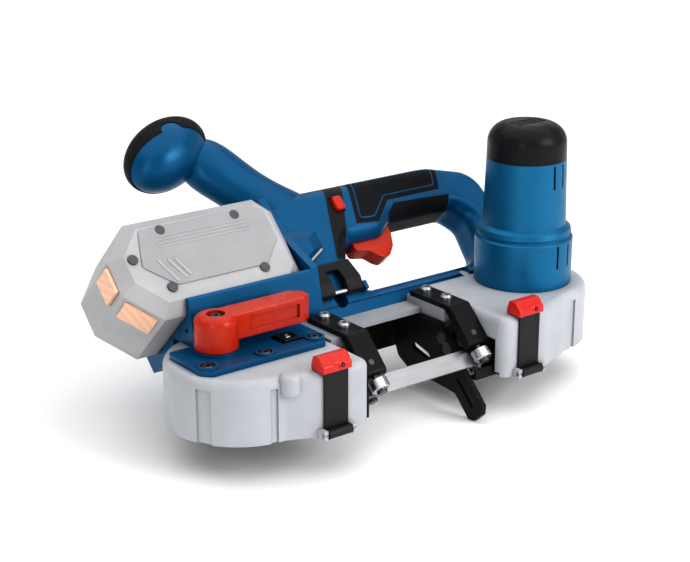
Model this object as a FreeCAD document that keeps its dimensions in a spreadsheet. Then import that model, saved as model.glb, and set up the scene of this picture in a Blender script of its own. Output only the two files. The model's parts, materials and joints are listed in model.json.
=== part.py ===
import FreeCAD, Part
import math
import os

import Sketcher

# Driving dimensions, millimetres and degrees
SIZES = {
    # Saw band and wheels
    "wheel_centres": 243.0,
    "drive_to_throat": 124.0,
    "wheel_radius": 39.0,
    "wheel_width": 14.0,
    "wheel_mid": 13.0,
    "tyre_thick": 2.0,
    "rim_thick": 4.0,
    "web_thick": 4.0,
    "hub_radius": 15.0,
    "spoke_hole": 6.5,
    "spoke_count": 6,
    "band_width": 13.0,
    "band_thick": 0.6,
    "band_gap": 0.15,
    "tooth_pitch": 1.8,
    "tooth_depth": 1.0,
    "tilt": 45.0,
    # Shafts, bearings and clearances
    "shaft_radius": 6.0,
    "bearing_radius": 12.0,
    "bearing_width": 8.0,
    "running_gap": 0.05,
    "fit_gap": 0.02,
    "clearance": 0.4,
    # Wheel housings and bridge
    "wall": 3.0,
    "deck_height": 42.0,
    "roof": 4.0,
    "edge_round": 5.0,
    "corner_round": 8.0,
    "idler_housing_radius": 48.5,
    "drive_housing_radius": 45.5,
    "idler_throat_wall": 59.0,
    "drive_throat_wall": 71.0,
    "housing_front": 58.5,
    "front_flat": 38.0,
    "channel_depth": 1.4,
    "band_mouth": 26.0,
    "bridge_front": 7.0,
    "bridge_step": 5.0,
    "bridge_plate": 4.0,
    "guard_thick": 2.5,
    "guard_lip": 24.0,
    "guard_reach": 4.0,
    "lip_thick": 1.6,
    "guard_tab": 15.0,
    # Blade guides and work stop
    "idler_guide_gap": 16.0,
    "drive_guide_gap": 9.0,
    "arm_width": 17.0,
    "arm_thick": 6.0,
    "flange_thick": 3.5,
    "flange_back": 19.5,
    "guide_head": 22.0,
    "guide_depth": 11.0,
    "guide_slot": 6.0,
    "roller_radius": 6.5,
    "roller_width": 7.0,
    "back_roller_width": 5.0,
    "pin_radius": 2.0,
    "pin_head": 3.4,
    "screw_head": 4.2,
    "stop_thick": 3.6,
    "stop_gap": 0.3,
    "finger_reach": 66.0,
    "finger_width": 19.0,
    # Band tension
    "lever_x": 13.5,
    "lever_y": 6.0,
    "lever_boss": 14.0,
    "lever_length": 68.0,
    "lever_width": 17.0,
    "lever_rise": 5.4,
    "lever_thick": 17.0,
    "lever_gap": 0.4,
    "lever_dome": 5.5,
    "screw_sink": 4.2,
    "cam_radius": 7.4,
    "cam_throw": 2.0,
    "cam_shaft": 5.0,
    "cover_thick": 3.6,
    "cover_front": 23.0,
    "cover_back": 21.0,
    "pedestal": 2.0,
    # Guard latches
    "idler_latch": 30.0,
    "drive_latch": 50.0,
    "strap_width": 18.0,
    "strap_thick": 1.4,
    "latch_head": 22.0,
    "latch_depth": 13.0,
    "latch_rise": 10.0,
    "knuckle_radius": 3.0,
    "latch_pin": 1.5,
    # Motor
    "motor_base_radius": 34.6,
    "motor_base_height": 34.0,
    "motor_radius": 29.4,
    "motor_top_radius": 28.0,
    "motor_height": 89.0,
    "motor_wall": 2.6,
    "shoulder_lip": 8.5,
    "shoulder_groove": 1.2,
    "cap_radius": 27.4,
    "cap_height": 25.0,
    "cap_round": 14.0,
    "rotor_radius": 14.2,
    "stator_bore": 15.0,
    "stator_height": 34.0,
    "rotor_shaft": 4.0,
    "vent_count": 10,
    "vent_width": 1.8,
    "vent_length": 19.0,
    # Handles, in the tilted plane
    "handle_mid": -15.0,
    "handle_thick": 34.0,
    "grip_round": 0.29,
    "skin": 2.2,
    "grip_top": 134.0,
    "grip_under": 96.5,
    "opening_floor": 50.0,
    "opening_left": 10.0,
    "opening_right": 124.0,
    "leg_right": 161.0,
    "core_left": -42.0,
    "stem_width": 39.0,
    "stem_thick": 31.0,
    "stem_aim_x": 22.0,
    "stem_aim_u": -8.0,
    "knob_long": 34.8,
    "knob_short": 23.0,
    "knob_lean": 25.0,
    "knob_x": -82.0,
    "knob_u": 188.0,
    "trigger_width": 13.0,
    "trigger_travel": 5.0,
    "button_travel": 2.5,
    # Hang hook
    "hook_right": 3.0,
    "hook_floor": 50.0,
    "hook_length": 23.0,
    "hook_rod": 5.0,
    "hook_crest": 7.0,
    "slot_left": -21.0,
    "slot_right": -10.0,
    # Battery
    "battery_left": -174.0,
    "battery_right": -43.0,
    "battery_floor": 57.5,
    "battery_top": 128.0,
    "battery_back": -42.0,
    "battery_front": 20.0,
    "battery_bevel": 8.0,
    "battery_nose_x": 21.0,
    "battery_nose_u": 23.0,
    "battery_heel_x": 10.0,
    "battery_heel_u": 12.0,
    "battery_wall": 2.5,
    "cell_radius": 9.2,
    "cell_pitch": 18.7,
    "cell_length": 65.0,
    "bay_left": -138.0,
    "bay_back": -56.0,
    "rail_neck": 26.0,
    "rail_head": 36.0,
    "rail_step": 4.0,
}


class Size:
    """A length or angle that carries its number and its sheet expression."""

    def __init__(self, number, text):
        self.number = number
        self.text = text

    def __add__(self, other):
        return Size(self.number + num(other), f"({self.text} + {txt(other)})")

    def __radd__(self, other):
        return Size(num(other) + self.number, f"({txt(other)} + {self.text})")

    def __sub__(self, other):
        return Size(self.number - num(other), f"({self.text} - {txt(other)})")

    def __rsub__(self, other):
        return Size(num(other) - self.number, f"({txt(other)} - {self.text})")

    def __mul__(self, other):
        return Size(self.number * num(other), f"({self.text} * {txt(other)})")

    def __rmul__(self, other):
        return Size(num(other) * self.number, f"({txt(other)} * {self.text})")

    def __truediv__(self, other):
        return Size(self.number / num(other), f"({self.text} / {txt(other)})")

    def __neg__(self):
        return Size(-self.number, f"(-1 * {self.text})")


def num(value):
    return value.number if isinstance(value, Size) else float(value)


def txt(value):
    return value.text if isinstance(value, Size) else f"({value})"


def cosine(angle):
    return Size(math.cos(math.radians(num(angle))), f"cos({txt(angle)} * 1 deg)")


def sine(angle):
    return Size(math.sin(math.radians(num(angle))), f"sin({txt(angle)} * 1 deg)")


def vec(x, y, z=0.0):
    return FreeCAD.Vector(num(x), num(y), num(z))


doc = FreeCAD.newDocument("band_saw")
sheet = doc.addObject("Spreadsheet::Sheet", "Sizes")
for row, (alias, value) in enumerate(SIZES.items(), 1):
    sheet.set(f"A{row}", alias)
    sheet.set(f"B{row}", str(value))
    sheet.setAlias(f"B{row}", alias)
doc.recompute()


class Sheet:
    """Reads each named cell as a Size."""

    def __getattr__(self, alias):
        return Size(float(sheet.get(alias)), f"Sizes.{alias}")


S = Sheet()
NODES = []


def node(obj, label):
    """Make an object a sub-part of the saw."""
    obj.Label = label
    NODES.append(obj)
    return obj


def bind(obj, path, value):
    """Tie a property to the sheet, or set a plain number."""
    obj.setExpression(path, txt(value))


TURNS = {
    "z": (vec(0, 0, 1), 0),
    "x": (vec(0, 1, 0), 90),
    "y": (vec(1, 0, 0), -90),
    "n": (vec(1, 0, 0), S.tilt),
    "u": (vec(1, 0, 0), S.tilt - 90),
}


def place(obj, at=(0, 0, 0), along="z"):
    """Put an object at a point with its Z axis along a named direction."""
    axis, angle = TURNS[along]
    obj.Placement = FreeCAD.Placement(vec(*at), FreeCAD.Rotation(axis, num(angle)))
    for name, value in zip("xyz", at):
        bind(obj, f"Placement.Base.{name}", value)
    if isinstance(angle, Size):
        bind(obj, "Placement.Rotation.Angle", angle)
    return obj


def cylinder(at, radius, height, along="z"):
    obj = doc.addObject("Part::Cylinder", "cylinder")
    bind(obj, "Radius", radius)
    bind(obj, "Height", height)
    return place(obj, at, along)


def block(low, high, along="z"):
    """A box between two corners."""
    obj = doc.addObject("Part::Box", "block")
    for prop, a, b in zip(("Length", "Width", "Height"), low, high):
        bind(obj, prop, b - a)
    return place(obj, low, along)


def cut(base, *tools):
    obj = doc.addObject("Part::Cut", "cut")
    obj.Base = base
    obj.Tool = tools[0] if len(tools) == 1 else fuse(*tools)
    return obj


def fuse(*shapes):
    obj = doc.addObject("Part::MultiFuse", "fuse")
    obj.Shapes = list(shapes)
    obj.Refine = True
    return obj


def group(label, *shapes):
    """Several loose solids of one kind in one sub-part."""
    obj = doc.addObject("Part::Compound", label)
    obj.Links = list(shapes)
    return node(obj, label)


def ring(at, outer, inner, height, along="z"):
    return cut(cylinder(at, outer, height, along), cylinder(at, inner, height, along))


THROAT = -S.drive_to_throat
DRIVE = 0.0
IDLER = -S.wheel_centres
BAND = S.wheel_radius + S.band_gap + S.band_thick / 2
BAND_U = -BAND * cosine(S.tilt)
BAND_N = BAND * sine(S.tilt)
BRIDGE_TOP = S.deck_height - S.bridge_step
FAR = 4 * num(S.wheel_centres)


# Middle of each blade guide, from the throat's middle
GUIDE_X = {-1: IDLER + S.idler_throat_wall + S.idler_guide_gap - THROAT,
           1: -S.drive_throat_wall - S.drive_guide_gap - THROAT}


def tilted(x, u, n):
    """A point of the tilted frame: x from the throat's middle, u up and back, n up and forward."""
    return (THROAT + x,
            u * cosine(S.tilt) - n * sine(S.tilt),
            S.wheel_mid + u * sine(S.tilt) + n * cosine(S.tilt))


def tilt_place(obj):
    return place(obj, tilted(0, 0, 0), "n")


TILT = FreeCAD.Placement(vec(*tilted(0, 0, 0)), FreeCAD.Rotation(vec(1, 0, 0), num(S.tilt)))


def to_tilt(shape):
    """A shape given in the saw's frame, as the tilted frame sees it."""
    return shape.transformed(TILT.inverse().toMatrix())


# Sketched bodies

def new_body(at=(0, 0, 0), along="z"):
    body = doc.addObject("PartDesign::Body", "body")
    return place(body, at, along)


def new_sketch(body, plane, level=0):
    """An empty sketch on one of the body's own planes, or parallel to it."""
    result = body.newObject("Sketcher::SketchObject", "profile")
    support = [f for f in body.Origin.OriginFeatures if f.Role == f"{plane}_Plane"]
    result.AttachmentSupport = [(support[0], "")]
    result.MapMode = "FlatFace"
    bind(result, "AttachmentOffset.Base.z", level)
    return result


def sketch(body, plane, points, level=0):
    """A closed polygon, every corner tied to the sheet."""
    result = new_sketch(body, plane, level)
    count = len(points)
    for i, point in enumerate(points):
        result.addGeometry(Part.LineSegment(vec(*point), vec(*points[(i + 1) % count])))
    for i in range(count):
        result.addConstraint(Sketcher.Constraint("Coincident", i, 2, (i + 1) % count, 1))
    for i, point in enumerate(points):
        for kind, value in zip(("DistanceX", "DistanceY"), point):
            index = result.addConstraint(Sketcher.Constraint(kind, -1, 1, i, 1, num(value)))
            result.setExpression(f"Constraints[{index}]", txt(value))
    return result


def circle_sketch(body, plane, centre, radius, level=0):
    """A full circle tied to the sheet."""
    result = new_sketch(body, plane, level)
    result.addGeometry(Part.Circle(vec(*centre), vec(0, 0, 1), num(radius)))
    for kind, value in zip(("DistanceX", "DistanceY"), centre):
        index = result.addConstraint(Sketcher.Constraint(kind, -1, 1, 0, 3, num(value)))
        result.setExpression(f"Constraints[{index}]", txt(value))
    index = result.addConstraint(Sketcher.Constraint("Radius", 0, num(radius)))
    result.setExpression(f"Constraints[{index}]", txt(radius))
    return result


def pad(body, profile, length, middle=False, back=False):
    result = body.newObject("PartDesign::Pad", "pad")
    result.Profile = profile
    bind(result, "Length", length)
    result.Midplane = middle
    result.Reversed = back
    doc.recompute()
    return result


def pocket(body, profile, length, middle=False, back=False):
    before = body.Shape.Volume
    result = body.newObject("PartDesign::Pocket", "pocket")
    result.Profile = profile
    bind(result, "Length", length)
    result.Midplane = middle
    result.Reversed = back
    doc.recompute()
    if body.Shape.Volume > before - 0.01:
        raise ValueError("a pocket missed the solid")
    return result


def revolve(body, points):
    """A turned solid: points give radius and height about the body's Z axis."""
    profile = sketch(body, "XZ", points)
    result = body.newObject("PartDesign::Revolution", "turned")
    result.Profile = profile
    result.ReferenceAxis = (profile, ["V_Axis"])
    result.Angle = 360
    doc.recompute()
    return result


def polar(body, feature, count, angle=360):
    """Repeat a feature about the body's Z axis."""
    result = body.newObject("PartDesign::PolarPattern", "pattern")
    result.Originals = [feature]
    axis = [f for f in body.Origin.OriginFeatures if f.Role == "Z_Axis"][0]
    result.Axis = (axis, [""])
    result.Angle = angle
    bind(result, "Occurrences", count)
    body.Tip = result
    doc.recompute()
    return result


def dress_edges(body, kind, measure, size, chosen):
    """Work the edges of the body's last feature that the test chooses, in the body's own frame."""
    tip = body.Tip
    names = []
    for i, edge in enumerate(tip.Shape.Edges, 1):
        if chosen([v.Point for v in edge.Vertexes], edge):
            names.append(f"Edge{i}")
    result = body.newObject(f"PartDesign::{kind}", "worked")
    result.Base = (tip, names)
    bind(result, measure, size)
    doc.recompute()
    return result


def round_edges(body, radius, chosen):
    return dress_edges(body, "Fillet", "Radius", radius, chosen)


def bevel_edges(body, size, chosen):
    return dress_edges(body, "Chamfer", "Size", size, chosen)


def upright_at(*corners, axes="xy"):
    """Chooses the edges parallel to the pad that stand on given profile corners."""
    first, second = axes

    def chosen(points, edge):
        if len(points) != 2 or (points[0] - points[1]).Length < 0.5:
            return False
        return any(all(math.hypot(getattr(p, first) - num(c[0]), getattr(p, second) - num(c[1])) < 0.01
                       for p in points) for c in corners)
    return chosen


def level_at(height):
    """Chooses the edges that lie at one height."""
    def chosen(points, edge):
        middle = edge.valueAt((edge.FirstParameter + edge.LastParameter) / 2)
        return all(abs(p.z - num(height)) < 0.01 for p in points + [middle])
    return chosen


# Wheel housings

def housing_sketch(body, radius, throat, front, side, inset):
    """The housing outline as a sketch with one true arc about the wheel axis."""
    inner = radius - inset
    result = new_sketch(body, "XY")
    back, flare, wide = inner, throat - S.front_flat, throat - inset
    corners = [(0, -inner), (side * flare, -(front - inset)), (side * wide, -(front - inset)),
               (side * wide, back), (0, back)]
    for a, b in zip(corners, corners[1:]):
        result.addGeometry(Part.LineSegment(vec(*a), vec(*b)))
    quarter = math.pi / 2
    first, last = (quarter, 3 * quarter) if side > 0 else (-quarter, quarter)
    full = Part.Circle(vec(0, 0), vec(0, 0, 1), num(inner))
    result.addGeometry(Part.ArcOfCircle(full, first, last))
    front_end, back_end = (2, 1) if side > 0 else (1, 2)
    for i in range(3):
        result.addConstraint(Sketcher.Constraint("Coincident", i, 2, i + 1, 1))
    result.addConstraint(Sketcher.Constraint("Coincident", 4, front_end, 0, 1))
    result.addConstraint(Sketcher.Constraint("Coincident", 4, back_end, 3, 2))
    result.addConstraint(Sketcher.Constraint("Coincident", 4, 3, -1, 1))
    result.addConstraint(Sketcher.Constraint("PointOnObject", 0, 1, -2))
    result.addConstraint(Sketcher.Constraint("PointOnObject", 3, 2, -2))
    index = result.addConstraint(Sketcher.Constraint("Radius", 4, num(inner)))
    result.setExpression(f"Constraints[{index}]", txt(inner))
    for i, (x, y) in enumerate(corners[1:4], 1):
        pairs = [("DistanceX", x), ("DistanceY", y)]
        for kind, value in pairs[:1] if i == 3 else pairs:
            index = result.addConstraint(Sketcher.Constraint(kind, -1, 1, i, 1, num(value)))
            result.setExpression(f"Constraints[{index}]", txt(value))
    result.addConstraint(Sketcher.Constraint("Horizontal", 3))
    return result


def wheel_housing(axis_x, radius, throat, side, latch, channels):
    """A cup over one wheel, open below, with band mouths in its throat wall and latch lugs in front."""
    body = new_body((axis_x, 0, 0))
    pad(body, housing_sketch(body, radius, throat, S.housing_front, side, 0), S.deck_height)
    corner = (side * throat, -S.housing_front)
    elbow = (side * (throat - S.front_flat), -S.housing_front)
    waist = (0, -radius)
    round_edges(body, S.corner_round, upright_at(corner, elbow, waist))
    round_edges(body, S.edge_round, level_at(S.deck_height))
    for low, high in channels:
        reach = [(radius - S.channel_depth, low), (radius + 2, low), (radius + 2, high),
                 (radius - S.channel_depth, high)]
        points = [(-side * r * cosine(a), -r * sine(a)) for r, a in reach]
        pocket(body, sketch(body, "XY", points), S.deck_height - S.edge_round - S.channel_depth, back=True)
    cavity = housing_sketch(body, radius, throat, S.housing_front, side, S.wall)
    pocket(body, cavity, S.deck_height - S.roof, back=True)
    wall_x = axis_x + side * (throat - S.wall / 2)
    mouths = []
    for y, reach in ((-BAND, 10), (BAND, 5)):
        mouths.append(block((wall_x - S.wall, y - reach, -1), (wall_x + S.wall, y + reach, S.band_mouth)))
    tab_y = -S.housing_front + S.corner_round
    mouths.append(block((wall_x - S.wall, tab_y - S.wall, -1),
                        (wall_x + S.wall, tab_y + 3 * S.wall, S.guard_thick + S.clearance)))
    lugs = []
    pin_y = -S.housing_front - S.strap_thick - S.knuckle_radius
    latch_x = axis_x + side * latch
    for end in (-1, 1):
        near = latch_x + end * (S.strap_width / 2 + S.clearance)
        far = near + end * S.wall
        low, high = (far, near) if end < 0 else (near, far)
        lug = block((low, pin_y - S.knuckle_radius / 2, 0),
                    (high, -S.housing_front + S.wall / 2, 2 * S.knuckle_radius))
        lugs.append(lug)
    pin_hole = cylinder((latch_x - S.strap_width, pin_y, S.knuckle_radius), S.latch_pin + S.fit_gap,
                        2 * S.strap_width, "x")
    return cut(fuse(body, *lugs), pin_hole, *mouths)


CHANNELS = ((22, 34), (78, 84))


LUG_AT = (3.0, -0.5)
LUG_RISE = 1.5


def idler_housing():
    shell = wheel_housing(IDLER, S.idler_housing_radius, S.idler_throat_wall, 1, S.idler_latch, CHANNELS)
    shaft = cylinder((IDLER - S.lever_x, S.lever_y, 0), S.cam_shaft + S.running_gap, S.deck_height + 1)
    x, y = LUG_AT
    lug = new_body((IDLER + x, -S.idler_housing_radius + y, S.deck_height - S.guide_depth))
    pad(lug, circle_sketch(lug, "XY", (0, 0), S.roller_radius), S.guide_depth + LUG_RISE)
    round_edges(lug, S.wall, level_at(S.guide_depth + LUG_RISE))
    holes = [cylinder((IDLER + x, y, S.deck_height / 2), S.pin_radius + S.fit_gap, S.deck_height)
             for x, y in COVER_SCREWS]
    node(cut(fuse(shell, lug), shaft, *holes), "idler_housing")


def drive_housing():
    shell = wheel_housing(DRIVE, S.drive_housing_radius, S.drive_throat_wall, -1, S.drive_latch, CHANNELS)
    seat = cylinder((0, 0, S.deck_height - S.bearing_width), S.bearing_radius + S.wall,
                    S.bearing_width - S.roof / 2)
    bore = cylinder((0, 0, 0), S.bearing_radius + S.fit_gap, S.deck_height + 1)
    node(cut(fuse(shell, seat), bore), "drive_housing")


def bridge():
    """The beam behind the throat, with an ear under each guide arm."""
    left = IDLER + S.idler_throat_wall
    right = -S.drive_throat_wall
    back = S.idler_housing_radius
    floor = BRIDGE_TOP - S.bridge_plate
    plate = block((left, S.bridge_front, floor), (right, back, BRIDGE_TOP))
    rear = block((left, back - S.wall, S.guard_thick), (right, back, BRIDGE_TOP))
    web = block((left, BAND - 10, floor - 8), (right, BAND - 10 + S.wall, BRIDGE_TOP))
    ears = []
    for side, edge in ((-1, left), (1, right)):
        inner = THROAT + GUIDE_X[side] - side * S.arm_width / 2
        low, high = (edge, inner) if side < 0 else (inner, edge)
        ears.append(block((low, -S.flange_back + S.wall, floor),
                          (high, S.flange_back + S.wall, S.deck_height)))
    screws = [cylinder((THROAT + GUIDE_X[side], y, 0), S.pin_radius + S.fit_gap, S.deck_height + 1)
              for side in (-1, 1) for y in ARM_SCREWS]
    node(cut(fuse(plate, rear, web, *ears), *screws), "bridge_frame")


ARM_SCREWS = (-9.0, 12.0)


def blade_guard():
    """Flat guard under both wheels and the return run, with a lip before that run and a tab in the throat."""
    lobes = []
    for axis_x, radius, throat, side in ((IDLER, S.idler_housing_radius, S.idler_throat_wall, 1),
                                         (DRIVE, S.drive_housing_radius, S.drive_throat_wall, -1)):
        body = new_body((axis_x, 0, 0))
        pad(body, housing_sketch(body, radius, throat, S.housing_front, side, S.wall + S.clearance),
            S.guard_thick)
        lobes.append(body)
    left = IDLER + S.idler_throat_wall - 2 * S.wall
    right = -S.drive_throat_wall + 2 * S.wall
    front = BAND - S.guard_reach
    strip = block((left, front, 0), (right, BAND + S.wall, S.guard_thick))
    lip = block((left + 2 * S.wall, front, 0), (right - 2 * S.wall, front + S.lip_thick, S.guard_lip))
    tongue_left = THROAT + GUIDE_X[1] - S.arm_width / 2 + S.wall / 2
    tongue = block((tongue_left, -BAND - 9, 0), (right, -BAND - 4, S.guard_thick))
    fence = block((tongue_left, -BAND - 9, 0), (right, -BAND - 9 + S.lip_thick, S.guard_tab / 2))
    wall_x = IDLER + S.idler_throat_wall
    tab_y = -S.housing_front + S.corner_round
    foot = block((left, tab_y - S.wall / 2, 0), (wall_x + S.wall, tab_y + 2 * S.wall, S.guard_thick))
    tab = block((wall_x + S.clearance, tab_y - S.wall / 2, 0),
                (wall_x + S.wall, tab_y + 2 * S.wall, S.guard_tab))
    node(fuse(*lobes, strip, lip, tongue, fence, foot, tab), "blade_guard")


# Wheels, shafts and bearings

def wheel(axis_x, bore):
    """Rim, web and hub turned in one, with round holes in the web."""
    body = new_body((axis_x, 0, S.wheel_mid))
    half, web = S.wheel_width / 2, S.web_thick / 2
    rim = S.wheel_radius - S.tyre_thick
    inner = rim - S.rim_thick
    revolve(body, [(bore, -half), (S.hub_radius, -half), (S.hub_radius, -web), (inner, -web),
                   (inner, -half), (rim, -half), (rim, half), (inner, half), (inner, web),
                   (S.hub_radius, web), (S.hub_radius, half), (bore, half)])
    hole = circle_sketch(body, "XY", ((S.hub_radius + inner) / 2, 0), S.spoke_hole)
    first = pocket(body, hole, S.wheel_width, middle=True)
    polar(body, first, S.spoke_count)
    return body


def wheels():
    half = S.wheel_width / 2
    low = S.wheel_mid - half
    node(wheel(DRIVE, S.shaft_radius + S.fit_gap), "drive_wheel")
    node(wheel(IDLER, S.bearing_radius + S.fit_gap), "idler_wheel")
    for label, x in (("drive_tyre", DRIVE), ("idler_tyre", IDLER)):
        node(ring((x, 0, low), S.wheel_radius, S.wheel_radius - S.tyre_thick, S.wheel_width), label)
    node(ring((IDLER, 0, S.wheel_mid - half), S.bearing_radius, S.shaft_radius + S.running_gap,
              S.wheel_width), "idler_bearing")
    node(ring((0, 0, S.deck_height - S.bearing_width), S.bearing_radius, S.shaft_radius + S.running_gap,
              S.bearing_width), "drive_bearing")
    foot = S.guard_thick + S.clearance
    collar = low - foot - S.clearance / 2
    shaft_top = S.deck_height + S.motor_base_height / 2
    shaft = fuse(cylinder((0, 0, foot), S.shaft_radius, shaft_top - foot),
                 cylinder((0, 0, foot), S.shaft_radius + S.wall, collar))
    node(shaft, "drive_shaft")
    axle_top = S.deck_height - S.roof - S.clearance
    axle = fuse(cylinder((IDLER, 0, foot), S.shaft_radius, axle_top - foot),
                cylinder((IDLER, 0, foot), S.shaft_radius + S.wall, collar))
    node(axle, "idler_axle")


# Saw band

def band_section(x, twist):
    """The band's cross-section at a place along the front run, turned about its own middle."""
    half_w, half_t = num(S.band_width) / 2, num(S.band_thick) / 2
    turn = FreeCAD.Rotation(vec(1, 0, 0), -twist)
    points = [turn.multVec(vec(0, a * half_t, b * half_w)) + vec(x, -BAND, S.wheel_mid)
              for a, b in ((-1, -1), (1, -1), (1, 1), (-1, 1))]
    return Part.makePolygon(points + points[:1])


def saw_band():
    """Endless band: half rings on the wheels, straight return, twisted runs and a toothed cutting run."""
    half_w, half_t = num(S.band_width) / 2, num(S.band_thick) / 2
    mid, offset, tilt = num(S.wheel_mid), num(BAND), num(S.tilt)
    left, right = num(IDLER), 0.0
    guide_left = num(THROAT + GUIDE_X[-1] - S.arm_width / 2)
    guide_right = num(THROAT + GUIDE_X[1] + S.arm_width / 2)
    pieces = []
    for x, side in ((left, -1), (right, 1)):
        hoop = Part.makeCylinder(offset + half_t, 2 * half_w, vec(x, 0, mid - half_w))
        hoop = hoop.cut(Part.makeCylinder(offset - half_t, 2 * half_w, vec(x, 0, mid - half_w)))
        reach = 2 * offset
        keep = Part.makeBox(reach, 2 * reach, 4 * half_w,
                            vec(x if side > 0 else x - reach, -reach, mid - 2 * half_w))
        pieces.append(hoop.common(keep))
    pieces.append(Part.makeBox(right - left, 2 * half_t, 2 * half_w,
                               vec(left, offset - half_t, mid - half_w)))
    lead = num(S.clearance) * 10
    for start, end in ((left, guide_left), (right, guide_right)):
        toward = 1 if end > start else -1
        begin = start + toward * lead
        flat = Part.makeBox(lead, 2 * half_t, 2 * half_w,
                            vec(min(start, begin), -offset - half_t, mid - half_w))
        steps = 8
        sections = [band_section(begin + (end - begin) * i / steps, tilt * i / steps)
                    for i in range(steps + 1)]
        pieces += [flat, Part.makeLoft(sections, True, False)]
    pitch, depth = num(S.tooth_pitch), num(S.tooth_depth)
    outline = [vec(guide_left, half_w), vec(guide_left, -half_w)]
    count = int((guide_right - guide_left) / pitch) - 1
    first = (guide_left + guide_right - count * pitch) / 2
    for i in range(count):
        x = first + i * pitch
        outline += [vec(x, -half_w), vec(x + pitch * 0.45, -half_w + depth)]
    outline += [vec(first + count * pitch, -half_w), vec(guide_right, -half_w), vec(guide_right, half_w)]
    face = Part.Face(Part.makePolygon(outline + outline[:1]))
    cutting = face.extrude(vec(0, 0, 2 * half_t))
    cutting.translate(vec(0, 0, -half_t))
    cutting.Placement = FreeCAD.Placement(vec(0, -offset, mid),
                                          FreeCAD.Rotation(vec(1, 0, 0), tilt)).multiply(cutting.Placement)
    pieces.append(cutting)
    loop = pieces[0].multiFuse(pieces[1:])
    obj = doc.addObject("Part::Feature", "saw_band")
    obj.Shape = loop.Solids[0]
    print("saw band solids", len(loop.Solids), "loop length",
          round(2 * num(S.wheel_centres) + 2 * math.pi * offset, 1))
    node(obj, "saw_band")


# Blade guides and work stop

HEAD_LOW = BAND_U + 4
HEAD_HIGH = HEAD_LOW + S.guide_head
ROLLER_LOW = HEAD_LOW - S.roller_width - 2.5
SIDE_ROLLER = S.band_thick / 2 + S.band_gap + S.roller_radius
BACK_ROLLER = BAND_U + S.band_width / 2 + S.band_gap + S.roller_radius
SLOT_HIGH = BACK_ROLLER + S.roller_radius + S.clearance


def yz(u, n):
    """Height and depth of a point of the tilted frame, in the saw's frame."""
    return tilted(0, u, n)[1:]


def level_point(n, height):
    """Where a line of constant n reaches a height."""
    return (((height - S.wheel_mid) * cosine(S.tilt) - n) / sine(S.tilt), height)


def guide_arm(label, side):
    """Bent arm: flange on the bridge, sloping leg, forked head that carries the rollers."""
    x = THROAT + GUIDE_X[side]
    front, rear = BAND_N + S.guide_depth, BAND_N - S.guide_depth
    top = S.deck_height + S.flange_thick
    bend = level_point(front, top)
    points = [(S.flange_back, S.deck_height), (S.flange_back, top), bend, yz(HEAD_LOW, front),
              yz(HEAD_LOW, rear), yz(HEAD_HIGH, rear), yz(HEAD_HIGH, front - S.arm_thick),
              level_point(front - S.arm_thick, S.deck_height)]
    body = new_body((x, 0, 0))
    pad(body, sketch(body, "YZ", points), S.arm_width, middle=True)
    round_edges(body, S.flange_thick, upright_at(bend, axes="yz"))
    round_edges(body, S.flange_thick, upright_at(points[3], points[5], axes="yz"))
    half = S.guide_slot / 2
    slot = [yz(HEAD_LOW - 1, BAND_N - half), yz(HEAD_LOW - 1, BAND_N + half),
            yz(SLOT_HIGH, BAND_N + half), yz(SLOT_HIGH, BAND_N - half)]
    pocket(body, sketch(body, "YZ", slot), S.arm_width + 2, middle=True)
    bores = [cylinder(tilted(GUIDE_X[side], HEAD_LOW - 1, BAND_N + face * SIDE_ROLLER),
                      S.pin_radius + S.fit_gap, PIN_SEAT + 1, "u") for face in (-1, 1)]
    bores.append(cylinder(tilted(GUIDE_X[side], BACK_ROLLER, BAND_N - S.guide_depth + 2),
                          S.pin_radius + S.fit_gap, 2 * S.guide_depth, "n"))
    bores += [cylinder((x, y, S.deck_height - 1), S.pin_radius + S.fit_gap, S.flange_thick + 2)
              for y in ARM_SCREWS]
    if side > 0:
        bores += [cylinder(tilted(GUIDE_X[side] - S.arm_width / 2 - 1, u, STOP_SCREW_N),
                           S.pin_radius + S.fit_gap, 6, "x") for u in STOP_SCREWS]
    node(cut(body, *bores), label)


PIN_SEAT = 6.0
STOP_SCREWS = (HEAD_HIGH - S.screw_head, HEAD_HIGH - 3 * S.screw_head)
STOP_SCREW_N = BAND_N - 2 * S.screw_head


def rollers():
    pins = []
    for name, side in (("idler", -1), ("drive", 1)):
        x = GUIDE_X[side]
        for face, word in ((1, "front"), (-1, "rear")):
            n = BAND_N + face * SIDE_ROLLER
            roller = ring(tilted(x, ROLLER_LOW, n), S.roller_radius, S.pin_radius + S.running_gap,
                          S.roller_width, "u")
            node(roller, f"{name}_{word}_roller")
            head = ROLLER_LOW - S.clearance - S.pin_radius
            pins.append(fuse(cylinder(tilted(x, head, n), S.pin_radius, HEAD_LOW + PIN_SEAT - head, "u"),
                             cylinder(tilted(x, head, n), S.pin_head, S.pin_radius, "u")))
        half = S.back_roller_width / 2
        node(ring(tilted(x, BACK_ROLLER, BAND_N - half), S.roller_radius, S.pin_radius + S.running_gap,
                  S.back_roller_width, "n"), f"{name}_back_roller")
        pins.append(cylinder(tilted(x, BACK_ROLLER, BAND_N - S.guide_depth + 2), S.pin_radius,
                             2 * S.guide_depth - 2, "n"))
    group("guide_pins", *pins)


def socket_screw(x, y, seat, shank):
    """Pan-head screw with a hexagon socket, standing on a level seat."""
    body = new_body((x, y, seat))
    flat, rise = S.pin_radius, S.pin_head
    revolve(body, [(0, -shank), (S.pin_radius, -shank), (S.pin_radius, 0), (S.screw_head, 0),
                   (S.screw_head, rise * 0.6), (S.screw_head * 0.75, rise), (0, rise)])
    corners = [(flat * cosine(60 * i), flat * sine(60 * i)) for i in range(6)]
    pocket(body, sketch(body, "XY", corners, rise), rise * 0.6)
    return body


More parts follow.
